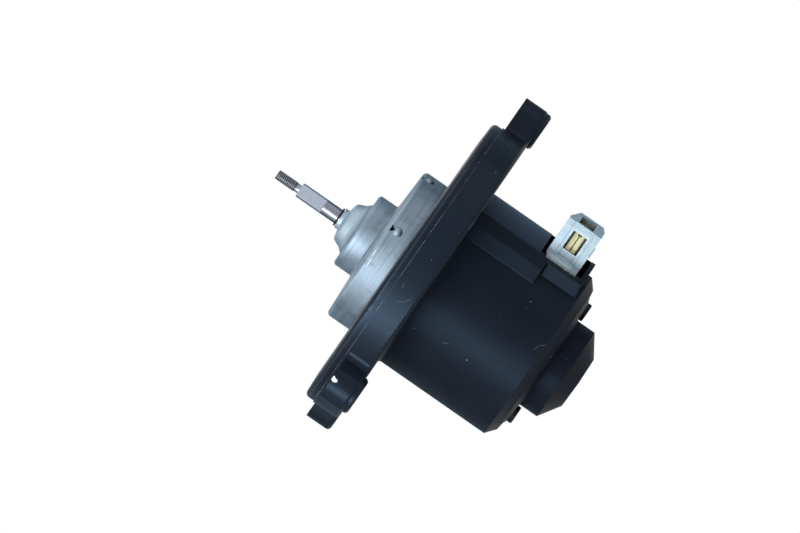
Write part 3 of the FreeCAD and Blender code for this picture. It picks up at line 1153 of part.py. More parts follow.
make_all()
document.recompute()
for item in document.Objects:
    if "Invalid" in item.State or "Error" in item.State:
        raise RuntimeError(f"{item.Name} failed: {item.State}")
os.makedirs("parts", exist_ok=True)
for part in FINISHED:
    if part.Shape.isNull() or not part.Shape.isValid():
        raise RuntimeError(f"{part.Label} has no valid shape")
    part.Shape.exportStep(f"parts/{part.Label}.step")
    print(part.Label, len(part.Shape.Solids), round(part.Shape.Volume, 1))
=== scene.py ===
# %% [markdown]
# A car cabin blower motor, dressed for the studio.
# The solids already have the right shapes and places, so this lesson does not move them.
# It rounds the edges that show, cuts the thread that the solids leave out, copies the brush springs,
# and adds two small forms beside the channel and the flecks along the flange's seam.
# Every piece gets a finish made from nodes, with the scratches, specks and the chip of a used part.

# %% Load the imported model
import json
import math
import bmesh
import bpy
from mathutils import Matrix, Vector


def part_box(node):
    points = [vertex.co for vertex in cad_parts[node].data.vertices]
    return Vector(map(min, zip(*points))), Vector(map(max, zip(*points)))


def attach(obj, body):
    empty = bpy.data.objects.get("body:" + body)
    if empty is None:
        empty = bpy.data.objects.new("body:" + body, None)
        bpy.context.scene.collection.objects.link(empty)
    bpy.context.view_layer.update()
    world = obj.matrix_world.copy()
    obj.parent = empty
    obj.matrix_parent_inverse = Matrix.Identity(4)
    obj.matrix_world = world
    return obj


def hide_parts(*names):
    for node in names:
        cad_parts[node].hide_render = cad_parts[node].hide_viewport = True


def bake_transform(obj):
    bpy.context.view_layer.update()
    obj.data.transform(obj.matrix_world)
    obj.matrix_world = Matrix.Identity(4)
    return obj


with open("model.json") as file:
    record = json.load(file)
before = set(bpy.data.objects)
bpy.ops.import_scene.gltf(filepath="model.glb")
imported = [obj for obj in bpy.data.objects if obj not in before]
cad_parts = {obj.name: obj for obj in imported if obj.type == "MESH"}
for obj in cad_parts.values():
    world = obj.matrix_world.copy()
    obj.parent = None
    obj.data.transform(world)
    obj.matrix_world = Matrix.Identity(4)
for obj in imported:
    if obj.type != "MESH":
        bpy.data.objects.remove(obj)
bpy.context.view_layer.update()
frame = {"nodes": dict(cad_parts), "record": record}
nodes = frame["nodes"]

# %% [markdown]
# Lengths on a motor are given in millimetres and Blender works in metres, so MM turns one into the other.
# The housing's channel, with the connector in it, points away from the shaft in its own direction. One
# helper turns "along the channel, across it, up the shaft" into a place, so sizes read off the part can be
# used as they are. Another puts a new object into the scene.

# %% Units, directions and objects
MM = 0.001
CHANNEL_DIRECTION = math.radians(68.5)


def on_channel(along, across, up):
    """The place so many millimetres from the shaft along the channel, across it, and up the shaft."""
    flat = Matrix.Rotation(CHANNEL_DIRECTION, 3, "Z")
    return flat @ (Vector((along, across, up)) * MM)


def in_scene(name, data):
    """A new object, linked into the scene."""
    made = bpy.data.objects.new(name, data)
    bpy.context.scene.collection.objects.link(made)
    return made


ALONG_CHANNEL = on_channel(1, 0, 0) / MM
ACROSS_CHANNEL = on_channel(0, 1, 0) / MM
print("the connector's mouth is near", on_channel(53, 0, -47))

# %% [markdown]
# The photograph looks at the motor from the side, with the shaft pointing up to the left.
# The camera stands level, square to the shaft, and is rolled about its own view.
# A very long lens six metres away keeps near and far parts the same size, as they are in the photograph.

# %% Camera
ROLL = math.radians(34.8)
VIEW_DIRECTION = math.radians(-6.5)
CAMERA_DISTANCE = 6.0
FOCAL_LENGTH = 720
AIM_UP_SHAFT = 2.1 * MM
AIM_SIDEWAYS = -2.2 * MM

towards_camera = Vector((math.cos(VIEW_DIRECTION), math.sin(VIEW_DIRECTION), 0))
sideways = Vector((-math.sin(VIEW_DIRECTION), math.cos(VIEW_DIRECTION), 0))
shaft_way = Vector((0, 0, 1))
image_right = -math.cos(ROLL) * shaft_way + math.sin(ROLL) * sideways
image_up = math.sin(ROLL) * shaft_way + math.cos(ROLL) * sideways

camera = in_scene("camera", bpy.data.cameras.new("camera"))
camera.data.lens = FOCAL_LENGTH
camera.data.dof.use_dof = False
aim = AIM_UP_SHAFT * shaft_way + AIM_SIDEWAYS * sideways
facing = Matrix((image_right, image_up, towards_camera)).transposed()
camera.matrix_world = Matrix.Translation(aim + CAMERA_DISTANCE * towards_camera) @ facing.to_4x4()
bpy.context.scene.camera = camera
bpy.context.scene.view_settings.view_transform = "Standard"
print("camera at", camera.location)

# %% [markdown]
# Finishes are node trees, and so are the rules that grow the thread and the flecks. Writing nodes out one
# by one is long, so a small class makes a node, sets its sockets and links them in one call. A plain number
# goes onto the socket itself, and a link only carries what changes over the surface.
# A second class is for finishes. It adds what they share: noises, soft zones, spots, streaks and layers.

# %% A short way to write nodes


class Writer:
    """Writes nodes into a tree."""

    def __init__(self, tree):
        self.tree = tree

    def plug(self, socket, what):
        """Links another node's output to a socket, or sets a plain value on it."""
        if isinstance(what, bpy.types.NodeSocket):
            self.tree.links.new(what, socket)
        else:
            socket.default_value = what

    def node(self, kind, output=0, settings=None, **sockets):
        """Adds a node. A socket is named by its words joined with _, or by its number after a letter n."""
        made = self.tree.nodes.new(kind)
        for word, setting in (settings or {}).items():
            setattr(made, word, setting)
        for word, what in sockets.items():
            key = int(word[1:]) if word[0] == "n" and word[1:].isdigit() else word.replace("_", " ")
            self.plug(made.inputs[key], what)
        return made.outputs[output]

    def apart(self, vector):
        """The three parts of a vector."""
        made = self.tree.nodes.new("ShaderNodeSeparateXYZ")
        self.plug(made.inputs[0], vector)
        return made.outputs

    def math(self, operation, first, second=0.0, third=0.0):
        """One step of arithmetic."""
        return self.node("ShaderNodeMath", settings={"operation": operation}, n0=first, n1=second, n2=third)

    def times(self, *values):
        """The product of several values."""
        product = values[0]
        for value in values[1:]:
            product = self.math("MULTIPLY", product, value)
        return product

    def spread(self, what, low, high, to_low=0.0, to_high=1.0):
        """Takes what lies between two values to the same share between two others, and no further."""
        return self.node("ShaderNodeMapRange", n0=what, n1=low, n2=high, n3=to_low, n4=to_high)


class Finish(Writer):
    """A material, with the patterns that the finishes share."""

    def __init__(self, name):
        self.material = bpy.data.materials.new(name)
        self.material.use_nodes = True
        super().__init__(self.material.node_tree)
        self.shader = self.tree.nodes["Principled BSDF"]
        self.place = self.tree.nodes.new("ShaderNodeTexCoord").outputs["Object"]

    def stretched(self, scale):
        """The place on the surface, scaled by its own factor along each axis."""
        return self.node("ShaderNodeMapping", Vector=self.place, Scale=scale)

    def noise(self, where, scale, detail=3.0, roughness=0.5):
        """A noise from 0 to 1, finer as its scale grows."""
        return self.node("ShaderNodeTexNoise", Vector=where, Scale=scale, Detail=detail, Roughness=roughness)

    def along(self, way):
        """How far out the place lies in a direction."""
        return self.node("ShaderNodeVectorMath", 1, {"operation": "DOT_PRODUCT"}, n0=self.place, n1=way)

    def from_shaft(self):
        """How far the place lies from the shaft's axis."""
        return self.node("ShaderNodeVectorMath", 1, {"operation": "LENGTH"}, n0=self.stretched((1, 1, 0)))

    def up_shaft(self):
        """How far up the shaft the place lies."""
        return self.apart(self.place)[2]

    def reach(self, what, start, end, at_start=0.0, at_end=1.0):
        """Goes from one value to another between two distances in millimetres."""
        return self.spread(what, start * MM, end * MM, at_start, at_end)

    def band(self, what, rise, fall):
        """1 between a rise and a fall, each a pair of distances in millimetres, and 0 outside them."""
        return self.times(self.reach(what, *rise), self.reach(what, fall[1], fall[0]))

    def mixed(self, share, first, second):
        """The first colour where the share is 0, the second where it is 1."""
        colours = [colour if isinstance(colour, bpy.types.NodeSocket) else (*colour, 1) for colour in (first, second)]
        return self.node("ShaderNodeMix", 2, {"data_type": "RGBA"}, n0=share, n6=colours[0], n7=colours[1])

    def over(self, below, tone, share, strength=1.0):
        """Lays a tone over a colour where a share says so, as strongly as given."""
        return self.mixed(share if strength == 1.0 else self.times(share, strength), below, tone)

    def spot(self, place, size, turn=(0, 0, 0), ragged=0.0, soft=0.15):
        """1 inside an egg about a place, 0 outside it. The place and its three half-sizes are in millimetres."""
        local = self.node("ShaderNodeMapping", settings={"vector_type": "TEXTURE"}, Vector=self.place, Rotation=turn,
                          Location=[part * MM for part in place], Scale=[part * MM for part in size])
        far = self.node("ShaderNodeVectorMath", 1, {"operation": "LENGTH"}, n0=local)
        if ragged:
            torn = self.times(self.math("SUBTRACT", self.noise(self.place, 1800, 3), 0.5), ragged)
            far = self.math("ADD", far, torn)
        return self.spread(far, 1 + soft, 1 - soft)

    def streak(self, start, end, width, ragged=1.2):
        """A thin soft mark between two places in millimetres."""
        first, last = Vector(start), Vector(end)
        turn = Vector((1, 0, 0)).rotation_difference(last - first).to_euler()
        return self.spot((first + last) / 2, ((last - first).length / 2, width, width), turn, ragged, 0.4)

    def any_of(self, shares):
        """The largest of several shares."""
        most = shares[0]
        for share in shares[1:]:
            most = self.math("MAXIMUM", most, share)
        return most

    def bump(self, height, distance, strength=1.0, normal=None):
        """A skin raised by a pattern, over another skin if one is given."""
        sockets = {"Height": height, "Distance": distance, "Strength": strength}
        if normal is not None:
            sockets["Normal"] = normal
        return self.node("ShaderNodeBump", **sockets)

    def shade(self, **sockets):
        """Sets the shader's sockets and gives back the material."""
        for word, what in sockets.items():
            if isinstance(what, tuple) and len(what) == 3 and word != "Subsurface_Radius":
                what = (*what, 1)
            self.plug(self.shader.inputs[word.replace("_", " ")], what)
        return self.material


print("nodes are written by", Writer.__name__, "and", Finish.__name__)

# %% [markdown]
# The housing and its cover are a glass-filled black plastic. It isn't quite black: it is a little blue,
# and its skin has a fine spark-eroded grain, long soft flow marks and a few pale specks of dust.
# Dark plastic is seen mostly by what it mirrors, so its roughness carries most of the look. The flange's
# rim is rubbed smoother by hands than the cup.
# Some of the look belongs to places. The channel's top has a painted sheen, which is a painted highlight, the pocket
# behind the connector, a deep gap, is painted nearly black as its shade, the rim's edge has a painted highlight,
# and a broken pale line of flash runs in the seam. Each is a soft-edged zone, given by distances along the channel,
# across it, up the shaft and from the shaft.
# The marks of use sit at known places too: a chip in the near lug, scratches on the rim and the cup, and
# specks. Each is an egg or a thin streak in space, and where it cuts the surface the colour changes.

# %% Black plastic
SPECKS = [((33.8, 11.1, -45.4), 0.22), ((29.3, -20.1, -38.3), 0.24), ((29.2, 55.2, -5.4), 0.26),
          ((46.4, 41.9, -7.2), 0.28), ((62.5, -0.5, -6.1), 0.16), ((27.7, -0.9, -63.4), 0.25),
          ((28.4, -21.4, -15.5), 0.18)]
SCRATCH_WIDTH = 0.11
SCRATCHES = [((59.1, -20.3, -4.4), (59.5, -19.0, -6.7)), ((59.5, -19.1, -6.6), (60.3, -16.4, -8.4)),
             ((35.4, -3.3, -56.4), (35.5, -0.8, -57.4)), ((35.5, -0.9, -57.3), (35.5, 0.9, -59.4)),
             ((29.4, -20.0, -27.3), (30.1, -18.9, -29.2)), ((61.0, -13.2, -2.6), (60.5, -15.6, -3.3))]
CHIP = [((48.8, -55.9, -0.9), (2, 0.5, 0.8)), ((48.8, -56.6, -1.8), (2, 0.75, 1.35))]

# Zones in millimetres: the pair where each begins and, for a band, the pair where it ends.
TOP_ALONG = (37.2, 37.7), (40.6, 41.0)
TOP_UP = (-39.5, -38.8), (-11.0, -10.6)
TOP_ACROSS = (-15, 6)
POCKET_ALONG = (33.6, 34.0), (38.5, 38.7)
POCKET_UP = (-56.4, -56.2), (-38.2, -38.0)
POCKET_ACROSS = (-4.7, -4.4)
RIM_RADIUS = (58.0, 58.5)
RIM_EDGE_UP = (1.8, 2.3), (2.5, 3.0)
SEAM_UP = (-0.16, -0.08), (0.08, 0.16)
HANDLED_RADIUS = (45, 56)
REAR_UP = (-61.0, -62.5)

PLAIN_PLASTIC = (0.0044, 0.0053, 0.0088), (0.0057, 0.0070, 0.0112)
PLASTIC_LAYERS = {  # what lies over the plain plastic, the lowest first: its strength and its colour
    "scuff": (0.30, (0.050, 0.060, 0.072)),
    "dust": (0.40, (0.30, 0.31, 0.32)),
    "scratch": (0.42, (0.14, 0.16, 0.18)),
    "speck": (0.60, (0.26, 0.29, 0.32)),
    "chip": (1.0, (0.80, 0.82, 0.82)),
    # a painted highlight along the rim's edge
    "rim_edge_highlight": (0.70, (0.026, 0.033, 0.046)),
    "seam": (1.0, (0.13, 0.15, 0.17)),
    # a painted highlight on the channel's top
    "painted_top_sheen": (1.0, (0.066, 0.100, 0.165)),
    # painted shade in the pocket behind the connector
    "pocket": (1.0, (0.003, 0.003, 0.004)),
}
PLASTIC_MIRROR = (0.40, 0.66, 1.0)
PLASTIC_ROUGH = (0.41, 0.48)
PLASTIC_GLOSS = (0.14, 0.26)
HANDLED_SMOOTHER = 0.07
POCKET_ROUGHER = 0.5
POCKET_DULLER = 0.15
REAR_DULLER = 0.05


def make_black_plastic(name):
    """Grained black plastic with its dust, its marks of use and the zones that look different."""
    finish = Finish(name)
    up, out = finish.up_shaft(), finish.from_shaft()
    along, across = finish.along(ALONG_CHANNEL), finish.along(ACROSS_CHANNEL)
    grain = finish.noise(finish.place, 2600, 2)
    clouds = finish.noise(finish.place, 55, 4)
    flow = finish.noise(finish.stretched((60, 60, 9)), 5, 3)
    rubbed = finish.noise(finish.stretched((900, 40, 40)), 3, 2)
    rare = finish.noise(finish.place, 140, 1)
    dust = finish.node("ShaderNodeTexVoronoi", Vector=finish.place, Scale=420)
    at_rim = finish.reach(out, *RIM_RADIUS)
    handled = finish.reach(out, *HANDLED_RADIUS)
    shares = {
        "scuff": finish.times(finish.spread(rubbed, 0.70, 0.76), finish.spread(clouds, 0.52, 0.60)),
        "dust": finish.times(finish.spread(dust, 0.07, 0.03), finish.spread(rare, 0.64, 0.68)),
        "scratch": finish.any_of([finish.streak(*ends, SCRATCH_WIDTH) for ends in SCRATCHES]),
        "speck": finish.any_of([finish.spot(where, (size, size, size)) for where, size in SPECKS]),
        "chip": finish.any_of([finish.spot(where, size, ragged=0.9) for where, size in CHIP]),
        # the rim's edge zone, a painted highlight
        "rim_edge_highlight": finish.times(finish.band(up, *RIM_EDGE_UP), at_rim),
        "seam": finish.times(finish.band(up, *SEAM_UP), at_rim, finish.spread(rare, 0.40, 0.60, 0.1, 0.5)),
        # the channel's top zone, a painted highlight
        "painted_top_sheen": finish.times(finish.band(along, *TOP_ALONG), finish.band(up, *TOP_UP),
                                   finish.reach(across, *TOP_ACROSS, 0.25, 0.9)),
        # the pocket's zone, painted shade
        "pocket": finish.times(finish.band(along, *POCKET_ALONG), finish.band(up, *POCKET_UP),
                               finish.reach(across, *POCKET_ACROSS)),
    }
    colour = finish.mixed(finish.spread(clouds, 0.35, 0.65), *PLAIN_PLASTIC)
    for layer, (strength, tone) in PLASTIC_LAYERS.items():
        colour = finish.over(colour, tone, shares[layer], strength)
    rough = finish.spread(flow, 0.3, 0.7, *PLASTIC_ROUGH)
    rough = finish.math("ADD", rough, finish.times(handled, -HANDLED_SMOOTHER))
    rough = finish.math("ADD", rough, finish.times(shares["pocket"], POCKET_ROUGHER))
    gloss = finish.spread(handled, 0, 1, *PLASTIC_GLOSS)
    gloss = finish.math("SUBTRACT", gloss, finish.times(finish.reach(up, *REAR_UP), REAR_DULLER))
    gloss = finish.math("SUBTRACT", gloss, finish.times(shares["pocket"], POCKET_DULLER))
    skin = finish.bump(clouds, 0.0001, 0.12, finish.bump(grain, 0.00002, 0.35))
    return finish.shade(Base_Color=colour, Roughness=rough, Specular_IOR_Level=gloss,
                        Specular_Tint=PLASTIC_MIRROR, Normal=skin)


black_plastic = make_black_plastic("black_plastic")
print("made", black_plastic.name, "with", len(SCRATCHES), "scratches and", len(SPECKS), "specks")

# %% [markdown]
# The can is deep-drawn zinc-plated steel. Its die and the turning of the blank leave fine rings:
# on the side they run round the can, and on the front face they are circles about the shaft.
# Both come from one pattern, a noise read at (distance from the shaft, height, a slow drift), because one
# of the first two is constant on each surface. The nose is painted paler.
# A few bright scratches show on its sides. Each is given by its radius and, at both of its ends, by how far
# it lies to the side and how far up the shaft.

# %% Drawn steel
CAN_RADIUS = 32.5
STEP_RADIUS = 15.4
CAN_SCRATCHES = [(CAN_RADIUS, (-1.5, 12.9), (-5.0, 12.8)), (CAN_RADIUS, (-5.6, 12.5), (-9.2, 12.4)),
                 (CAN_RADIUS, (1.0, 8.6), (-7.5, 8.7)), (CAN_RADIUS, (22.0, 6.1), (14.0, 6.2)),
                 (STEP_RADIUS, (-2.2, 20.9), (-5.4, 20.7)), (STEP_RADIUS, (1.6, 17.4), (-4.4, 17.2)),
                 (STEP_RADIUS, (-2.6, 19.2), (-4.9, 19.1))]
CAN_SCRATCH_WIDTH = 0.16
NOSE_UP = (24.0, 24.5)
RING_DRIFT = 0.012
ZINC = {"dark": (0.150, 0.200, 0.250), "pale": (0.300, 0.385, 0.460), "stain": (0.12, 0.145, 0.165),
        "paler_nose": (0.36, 0.46, 0.54), "scratch": (0.62, 0.70, 0.76)}
ZINC_ROUGH = (0.51, 0.66)


def on_round(radius, aside, up):
    """The place in millimetres on a cylinder about the shaft, on the side that the camera sees."""
    near = math.sqrt(radius ** 2 - aside ** 2)
    return tuple(near * towards_camera + aside * sideways + up * shaft_way)


def make_drawn_steel(name):
    """Zinc-plated steel with rings, blotches, stains, a paler nose and bright scratches."""
    finish = Finish(name)
    across, aside, up = finish.apart(finish.place)
    rings = finish.node("ShaderNodeCombineXYZ", n0=finish.from_shaft(), n1=up,
                        n2=finish.times(finish.math("ADD", across, aside), RING_DRIFT))
    fine = finish.noise(rings, 2600, 4, 0.6)
    broad = finish.noise(rings, 420, 3)
    blotch = finish.noise(finish.place, 75, 5, 0.6)
    stain = finish.noise(finish.stretched((1, 1, 0.35)), 210, 3)
    uneven = finish.math("ADD", finish.times(broad, 0.2), finish.times(blotch, 0.45))
    uneven = finish.math("ADD", finish.times(fine, 0.35), uneven)
    bright = finish.any_of([finish.streak(on_round(radius, *start), on_round(radius, *end), CAN_SCRATCH_WIDTH, 1.6)
                            for radius, start, end in CAN_SCRATCHES])
    colour = finish.mixed(finish.spread(uneven, 0.38, 0.62), ZINC["dark"], ZINC["pale"])
    colour = finish.over(colour, ZINC["stain"], finish.spread(stain, 0.60, 0.72, 0, 0.5))
    # the nose is painted paler above a height
    colour = finish.over(colour, ZINC["paler_nose"], finish.reach(up, *NOSE_UP, 0, 0.75))
    colour = finish.over(colour, ZINC["scratch"], bright, 0.7)
    skin = finish.bump(blotch, 0.0002, 0.12, finish.bump(fine, 0.00003, 0.35))
    return finish.shade(Base_Color=colour, Metallic=1.0, Roughness=finish.spread(blotch, 0.3, 0.7, *ZINC_ROUGH),
                        Normal=skin)


zinc_steel = make_drawn_steel("zinc_steel")
print("made", zinc_steel.name, "with", len(CAN_SCRATCHES), "scratches")

# %% [markdown]
# The shaft is ground steel, brighter than the can. Grinding leaves rings too, finer ones.
# The thread is painted darker where its radius is small, as shade in its roots.
# The round part below the milled flat is darker, as its old oil film was never milled away.

# %% Ground steel and the thread
FLAT_FOOT_UP = (38.41, 38.51)
ROOT_TO_CREST = (1.80, 1.97)
GROUND = {"dark": (0.28, 0.315, 0.375), "pale": (0.385, 0.425, 0.50), "smear": (0.20, 0.18, 0.18),
          "oil_film": (0.10, 0.115, 0.14), "root": (0.050, 0.052, 0.060), "crest": (0.20, 0.215, 0.24)}
GROUND_ROUGH = (0.26, 0.36)
THREAD_ROUGH = (0.42, 0.52)


def make_ground_steel(name, threaded=False):
    """Bright steel with fine rings and smears, or the darker steel of a thread with painted shade in its roots."""
    finish = Finish(name)
    radius, up = finish.from_shaft(), finish.up_shaft()
    fine = finish.noise(finish.node("ShaderNodeCombineXYZ", n0=radius, n1=up), 5200, 3, 0.6)
    smear = finish.noise(finish.place, 620, 4)
    if threaded:
        # the thread's roots are painted dark, as shade
        colour = finish.mixed(finish.reach(radius, *ROOT_TO_CREST), GROUND["root"], GROUND["crest"])
    else:
        colour = finish.mixed(finish.spread(fine, 0.30, 0.70), GROUND["dark"], GROUND["pale"])
        colour = finish.over(colour, GROUND["smear"], finish.spread(smear, 0.60, 0.76, 0, 0.3))
        colour = finish.over(colour, GROUND["oil_film"], finish.reach(up, *FLAT_FOOT_UP, 0.55, 0))
    return finish.shade(Base_Color=colour, Metallic=1.0, Normal=finish.bump(fine, 0.00001, 0.15),
                        Roughness=finish.spread(smear, 0.3, 0.7, *(THREAD_ROUGH if threaded else GROUND_ROUGH)))


bright_steel = make_ground_steel("bright_steel")
thread_steel = make_ground_steel("thread_steel", threaded=True)
print("made", bright_steel.name, "and", thread_steel.name)

# %% [markdown]
# The connector is unfilled nylon: milky and slightly see-through, so light spreads inside it before it
# comes out. A little subsurface scattering does that. Painted shade lies along the edges of its sunk front panel
# and its window, and along the sill that it stands in, drawn as streaks over a faint grey cloud.
# Its underside and its mouth's end are painted darker, as shade, and its foot in the pocket is painted pale,
# a painted light against the pocket's shade.

# %% White nylon
GROOVES = [((37.0, -7.4, -42.3), (50.5, -7.4, -42.3)), ((37.0, -7.4, -51.0), (50.5, -7.4, -51.0)),
           ((37.3, -7.4, -44.0), (37.3, -7.4, -49.3)), ((49.6, -8.0, -42.3), (49.6, -8.0, -51.0)),
           ((38.0, -6.9, -43.9), (49.0, -6.9, -43.9))]
SILL_EDGES = [((38.15, -7.3, -43.7), (38.15, -7.3, -49.7)), ((38.15, -7.3, -49.75), (41.8, -7.3, -49.75)),
              ((38.15, -7.3, -43.65), (41.8, -7.3, -43.65))]
GROOVE_WIDTH = 0.22
SILL_SHADE_WIDTH = 0.3
UNDERSIDE_UP = (-50.2, -50.8)
MOUTH_ALONG = (50.2, 51.0)
FOOT_ALONG = (38.4, 37.0)
NYLON = {"pale": (0.415, 0.55, 0.65), "cloud": (0.345, 0.48, 0.575), "groove": (0.20, 0.31, 0.37),
         "sill": (0.15, 0.24, 0.30), "end_shade": (0.27, 0.39, 0.46), "foot": (0.80, 0.95, 1.0)}
NYLON_DEPTH = (0.0016, 0.0020, 0.0024)
NYLON_ROUGH = (0.36, 0.48)


def on_plug(along, across, up):
    """A place on the connector in millimetres, as spots and streaks need it."""
    return tuple(on_channel(along, across, up) / MM)


def make_white_nylon(name):
    """Milky nylon with painted shade in its grooves, along the sill and at its ends, and painted light on its foot.
    """
    finish = Finish(name)
    cloud = finish.noise(finish.place, 260, 4)
    grain = finish.noise(finish.place, 3000, 2)
    along = finish.along(ALONG_CHANNEL)
    grooves = finish.any_of([finish.streak(on_plug(*start), on_plug(*end), GROOVE_WIDTH, 0.6)
                             for start, end in GROOVES])
    sill = finish.any_of([finish.streak(on_plug(*start), on_plug(*end), SILL_SHADE_WIDTH, 0.4)
                          for start, end in SILL_EDGES])
    end_shade = finish.math("MAXIMUM", finish.reach(finish.up_shaft(), *UNDERSIDE_UP), finish.reach(along, *MOUTH_ALONG))
    colour = finish.mixed(finish.spread(cloud, 0.35, 0.7), NYLON["pale"], NYLON["cloud"])
    # painted shade along the panel's and window's edges
    colour = finish.over(colour, NYLON["groove"], grooves, 0.3)
    # painted shade along the sill
    colour = finish.over(colour, NYLON["sill"], sill, 0.65)
    # the underside and the mouth's end are painted darker, as shade
    colour = finish.over(colour, NYLON["end_shade"], end_shade, 0.7)
    # the foot is painted pale, a painted light against the pocket's shade
    colour = finish.over(colour, NYLON["foot"], finish.reach(along, *FOOT_ALONG), 0.6)
    return finish.shade(Base_Color=colour, Roughness=finish.spread(cloud, 0.3, 0.7, *NYLON_ROUGH),
                        Subsurface_Weight=0.35, Subsurface_Radius=NYLON_DEPTH, Subsurface_Scale=1.0,
                        Normal=finish.bump(grain, 0.00002, 0.25))


white_plastic = make_white_nylon("white_plastic")
print("made", white_plastic.name, "with", len(GROOVES) + len(SILL_EDGES), "lines of painted shade")

# %% [markdown]
# The receptacles are stamped from brass. Crimping and soldering brown it towards the foot. Along one side it
# is painted darker, as shade, and the notch in the near one is painted almost black, as its shade.
# The other finishes share one pattern: two tones of a noise, a grain that raises the skin a little,
# and a roughness that wanders. A table gives each its tones, its roughness, whether it is metal, and its
# gloss. Most of them are on pieces inside the motor, which still need a finish when looked at alone.

# %% Two-tone finishes and brass
BRASS_FOOT_ALONG = (43.7, 42.6)
BRASS_SIDE_UP = (-46.0, -44.3)
NOTCH_PLACE = (48.9, -6.2, -46.65)
NOTCH_SIZE = (0.6, 1.6, 0.9)
BRASS = {"dark": (0.27, 0.265, 0.16), "pale": (0.34, 0.35, 0.235), "brown_and_shade": (0.13, 0.11, 0.045),
         "notch": (0.03, 0.025, 0.015)}
BRASS_ROUGH = (0.50, 0.60)
TWO_TONES = {  # dark tone, pale tone, roughness, metal, gloss
    "black_steel": ((0.006, 0.007, 0.010), (0.010, 0.012, 0.016), 0.50, 0.0, 0.12),
    "black_ring": ((0.008, 0.008, 0.009), (0.014, 0.014, 0.016), 0.45, 0.0, 0.2),
    "spring_steel": ((0.30, 0.31, 0.33), (0.46, 0.47, 0.49), 0.30, 1.0),
    "core_steel": ((0.16, 0.17, 0.18), (0.28, 0.29, 0.30), 0.45, 1.0),
    "bronze": ((0.30, 0.20, 0.11), (0.46, 0.32, 0.18), 0.50, 1.0),
    "copper": ((0.48, 0.19, 0.08), (0.66, 0.30, 0.15), 0.32, 1.0),
    "ferrite": ((0.045, 0.045, 0.048), (0.075, 0.075, 0.08), 0.60, 0.0),
    "carbon": ((0.030, 0.030, 0.032), (0.055, 0.055, 0.058), 0.50, 0.0),
    "card": ((0.22, 0.12, 0.05), (0.32, 0.18, 0.08), 0.60, 0.0),
    "insulation": ((0.020, 0.020, 0.023), (0.035, 0.035, 0.038), 0.45, 0.0),
    "washer_plastic": ((0.48, 0.46, 0.41), (0.62, 0.60, 0.54), 0.45, 0.0),
}


def make_two_tone(name, dark, pale, rough, metal=0.0, gloss=0.3):
    """A plain finish: clouds of two tones over a fine grain."""
    finish = Finish(name)
    cloud = finish.noise(finish.place, 300, 4)
    fine = finish.noise(finish.place, 1800, 3)
    colour = finish.mixed(finish.spread(cloud, 0.35, 0.65), dark, pale)
    return finish.shade(Base_Color=colour, Metallic=metal, Normal=finish.bump(fine, 0.00002, 0.3),
                        Specular_IOR_Level=0.5 if metal else gloss,
                        Roughness=finish.spread(cloud, 0.3, 0.7, rough - 0.05, rough + 0.08))


def make_brass(name):
    """Pale brass browned towards the crimped foot, with painted shade along one side and in the near one's notch."""
    finish = Finish(name)
    cloud = finish.noise(finish.place, 900, 4)
    fine = finish.noise(finish.stretched((1, 1, 5)), 1800, 3)
    foot = finish.reach(finish.along(ALONG_CHANNEL), *BRASS_FOOT_ALONG, 0, 0.75)
    side = finish.reach(finish.up_shaft(), *BRASS_SIDE_UP, 0, 0.8)
    # real browning towards the foot, and painted shade along one side
    brown_and_shade = finish.times(finish.math("MAXIMUM", foot, side), finish.spread(cloud, 0.2, 0.6, 0.6, 1.0))
    notch = finish.spot(on_plug(*NOTCH_PLACE), NOTCH_SIZE, (0, 0, CHANNEL_DIRECTION), 0.5)
    colour = finish.mixed(finish.spread(cloud, 0.35, 0.65), BRASS["dark"], BRASS["pale"])
    colour = finish.over(colour, BRASS["brown_and_shade"], brown_and_shade)
    # the notch is painted almost black, as shade
    colour = finish.over(colour, BRASS["notch"], notch)
    return finish.shade(Base_Color=colour, Metallic=1.0, Roughness=finish.spread(cloud, 0.3, 0.7, *BRASS_ROUGH),
                        Normal=finish.bump(fine, 0.00002, 0.2))


finishes = {name: make_two_tone(name, *look) for name, look in TWO_TONES.items()}
finishes.update({"black_plastic": black_plastic, "zinc_steel": zinc_steel, "bright_steel": bright_steel,
                 "white_plastic": white_plastic, "brass": make_brass("brass")})
slot_of = {part["node"]: part["material_slot"] for part in frame["record"]["subparts"]}
for name, solid in nodes.items():
    solid.data.materials.clear()
    solid.data.materials.append(finishes[slot_of[name]])
print(len(finishes), "finishes on", len(nodes), "solids")

# %% [markdown]
# A solid comes in as loose triangles with knife-sharp edges. Real mouldings and pressings have small radii
# that catch the light. So each solid that shows gets a copy: its points are merged, flat areas become
# single faces, and a Bevel modifier rounds every edge sharper than a chosen angle. A Weighted Normal
# modifier then lets the large faces decide the shading, so the flat ones stay flat beside their new edges.
# The copy stands in for the solid, which is then hidden.

# %% Rounded copies
BODY_OF = {node: body for body, members in frame["record"]["behaviour"]["bodies"].items() for node in members}
MERGE_DISTANCE = 0.00001
FLAT_ANGLE = math.radians(0.4)
SHARP_ANGLE = math.radians(28)
ROUNDED = [  # the solid, its copy, the width of its edges in millimetres, and their steps
    ("housing", "housing_moulding", 0.22, 2),
    ("flange_cover", "flange_ring", 0.20, 2),
    ("motor_can", "motor_shell", 0.12, 2),
    ("connector_housing", "connector_shell", 0.18, 3),
    ("terminal_front", "receptacle_front", 0.08, 2),
    ("terminal_back", "receptacle_back", 0.08, 2),
    ("motor_screws", "screw_heads", 0.12, 2),
]


def keep_shape(piece, name):
    """Turns what the modifiers make into a plain mesh."""
    graph = bpy.context.evaluated_depsgraph_get()
    mesh = bpy.data.meshes.new_from_object(piece.evaluated_get(graph))
    mesh.name = name
    piece.modifiers.clear()
    piece.data = mesh


def add_piece(name, mesh, material):
    """A new object for a mesh, with its material on it."""
    if material.name not in [used.name for used in mesh.materials if used]:
        mesh.materials.clear()
        mesh.materials.append(material)
    return in_scene(name, mesh)


